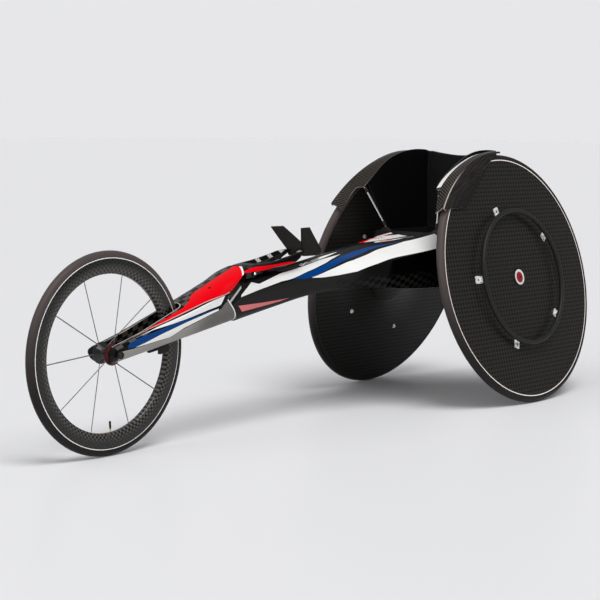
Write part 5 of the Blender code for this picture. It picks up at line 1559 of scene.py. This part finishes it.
yoke_lacquer = yoke_finish()
rings = []
for y in evenly(YOKE_FRONT_Y, YOKE_REAR_Y, YOKE_RINGS):
    high, low = station(YOKE_STATIONS, y)
    square = blend(1.5, 3.4, ease(y, -0.290, -0.200))
    rings.append(oval_ring(y, YOKE_HALF_WIDTH, high, low, (high + low) / 2, square, 4.0))
shell = skin(rings)
tunnel = []
for y in (-0.34, -0.29, -0.23, -0.18, -0.12, -0.05, 0.02):
    roof = station(FRAME_STATIONS, max(y, FRAME_NOSE_Y))[0] + 0.008
    tunnel.append(oval_ring(y, YOKE_HALF_WIDTH - 0.005, roof, 0.300, roof - 0.028, 2.2, 4.0, 10))
shell = cut(shell, skin(tunnel), face_material=1)
trough = []
for y in evenly(TROUGH_FRONT_Y, TROUGH_REAR_Y, 24):
    top = station(YOKE_STATIONS, y)[0] + 0.0008
    depth = TROUGH_DEPTH * ease(y, TROUGH_FRONT_Y, -0.212) * (1.0 - ease(y, -0.098, -0.070))
    half = [Vector((0.036, y, top + 0.0292)), Vector((0.036, y, top)), Vector((0.024, y, top - depth))]
    trough.append(half + mirrored(half))
shell = cut(shell, skin(trough))
plan = [Vector((out, y, 0.2)) for out, y in YOKE_PLAN]
plan += mirrored(plan)
shell = cut(shell, prism(plan, (0, 0, 0.4)), "INTERSECT", 1)
clamp = rod(CLAMP_R, (0, 0, CLAMP_FOOT), (0, 0, 0.046), 72)
shell = cut(shell, moved(clamp, place_head), "UNION")
for tool in (block((-0.2, -0.3, -0.3), (0.2, 0.030, CLAMP_FOOT)),
             block((-0.2, -0.3, -0.3), (0.2, -0.0412, 0.3)),
             rod(STEERING_PIN_R + BORE_ROOM, (0, 0, -0.1), (0, 0, 0.0263))):
    shell = cut(shell, moved(tool, place_head), face_material=1)
yoke_shell = piece("yoke_shell", shell, [yoke_lacquer, black_gloss], sharp=32)
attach(yoke_shell, "steered_fork")
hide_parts("yoke")
bolts = []
for side in (1, -1):
    bolt = screw_head(0.0036, 0.0022, 24)
    bolts.append(moved(bolt, Matrix.Diagonal((side, 1, 1, 1)) @ Matrix.Translation(YOKE_BOLT)))
bolt_heads = merge(*bolts)
bmesh.ops.recalc_face_normals(bolt_heads, faces=bolt_heads.faces)
yoke_bolts = piece("yoke_bolts", bolt_heads, [bright], sharp=30)
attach(yoke_bolts, "steered_fork")


# Grips: two moulded rubber blades that sheathe the ends of the yoke's arms. They rake forward and
# splay outward, and the sitter pushes them sideways to steer.
GRIP_RINGS = 16
GRIP_TWIST = math.radians(9.0)
GRIP_FOOT_Z = 0.4105
GRIP_TIP_Z = 0.4815
GRIP_X = 0.0220
# Each row holds the height over the foot, y, the chord and the thickness.
GRIP_FOOT = ((0.0, -0.0265, 0.064, 0.0130), (0.0012, -0.0265, 0.070, 0.0170),
             (0.0080, -0.0270, 0.074, 0.0180))


def grip_ring(side, x, y, z, chord, thickness, twist):
    """Section of a blade: rounded in front and finer behind."""
    ring = []
    for j in range(32):
        turn = 2 * math.pi * j / 32
        along = -math.cos(turn)
        out = math.sin(turn) * thickness / 2 * (1 - 0.3 * along) - along * chord / 2 * math.sin(twist)
        ring.append(Vector((side * (x + out), y + along * chord / 2, z)))
    return ring


def grip_finish():
    """Grey-black moulded rubber, coarse and dusty."""
    material, shader = finish("grip_rubber", (0.03, 0.028, 0.025), 0.62, specular=0.12)
    grain = noise(material, 650.0, 2.0)
    patchy = noise(material, 70.0)
    dust_and_sheen = grain.fade(0.42, 0.68) * 0.6 + patchy * 0.4
    join_to(shader, "Base Color", dust_and_sheen.mix((0.004, 0.0037, 0.0033, 1), (0.034, 0.031, 0.027, 1)))
    join_to(shader, "Roughness", 0.5 + patchy * 0.2)
    raise_surface(shader, grain, 0.0004, 0.7)
    return material


grip_rubber = grip_finish()
for side, label in SIDES:
    rings = [grip_ring(side, GRIP_X, y, GRIP_FOOT_Z + rise, chord, thickness, 0.0)
             for rise, y, chord, thickness in GRIP_FOOT]
    for rise in evenly(0.0, 1.0, GRIP_RINGS):
        rings.append(grip_ring(side, blend(0.0225, 0.0460, rise), blend(-0.028, -0.0770, rise),
                               blend(GRIP_FOOT_Z + 0.015, GRIP_TIP_Z, rise), blend(0.076, 0.041, rise),
                               blend(0.0170, 0.0090, rise), GRIP_TWIST * rise))
    rings.append(grip_ring(side, 0.0465, -0.0776, GRIP_TIP_Z + 0.0012, 0.037, 0.0060, GRIP_TWIST))
    grip = piece("grip_blade_" + label, skin(rings), [grip_rubber], sharp=50)
    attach(grip, "steered_fork")
    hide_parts("grip_" + label)
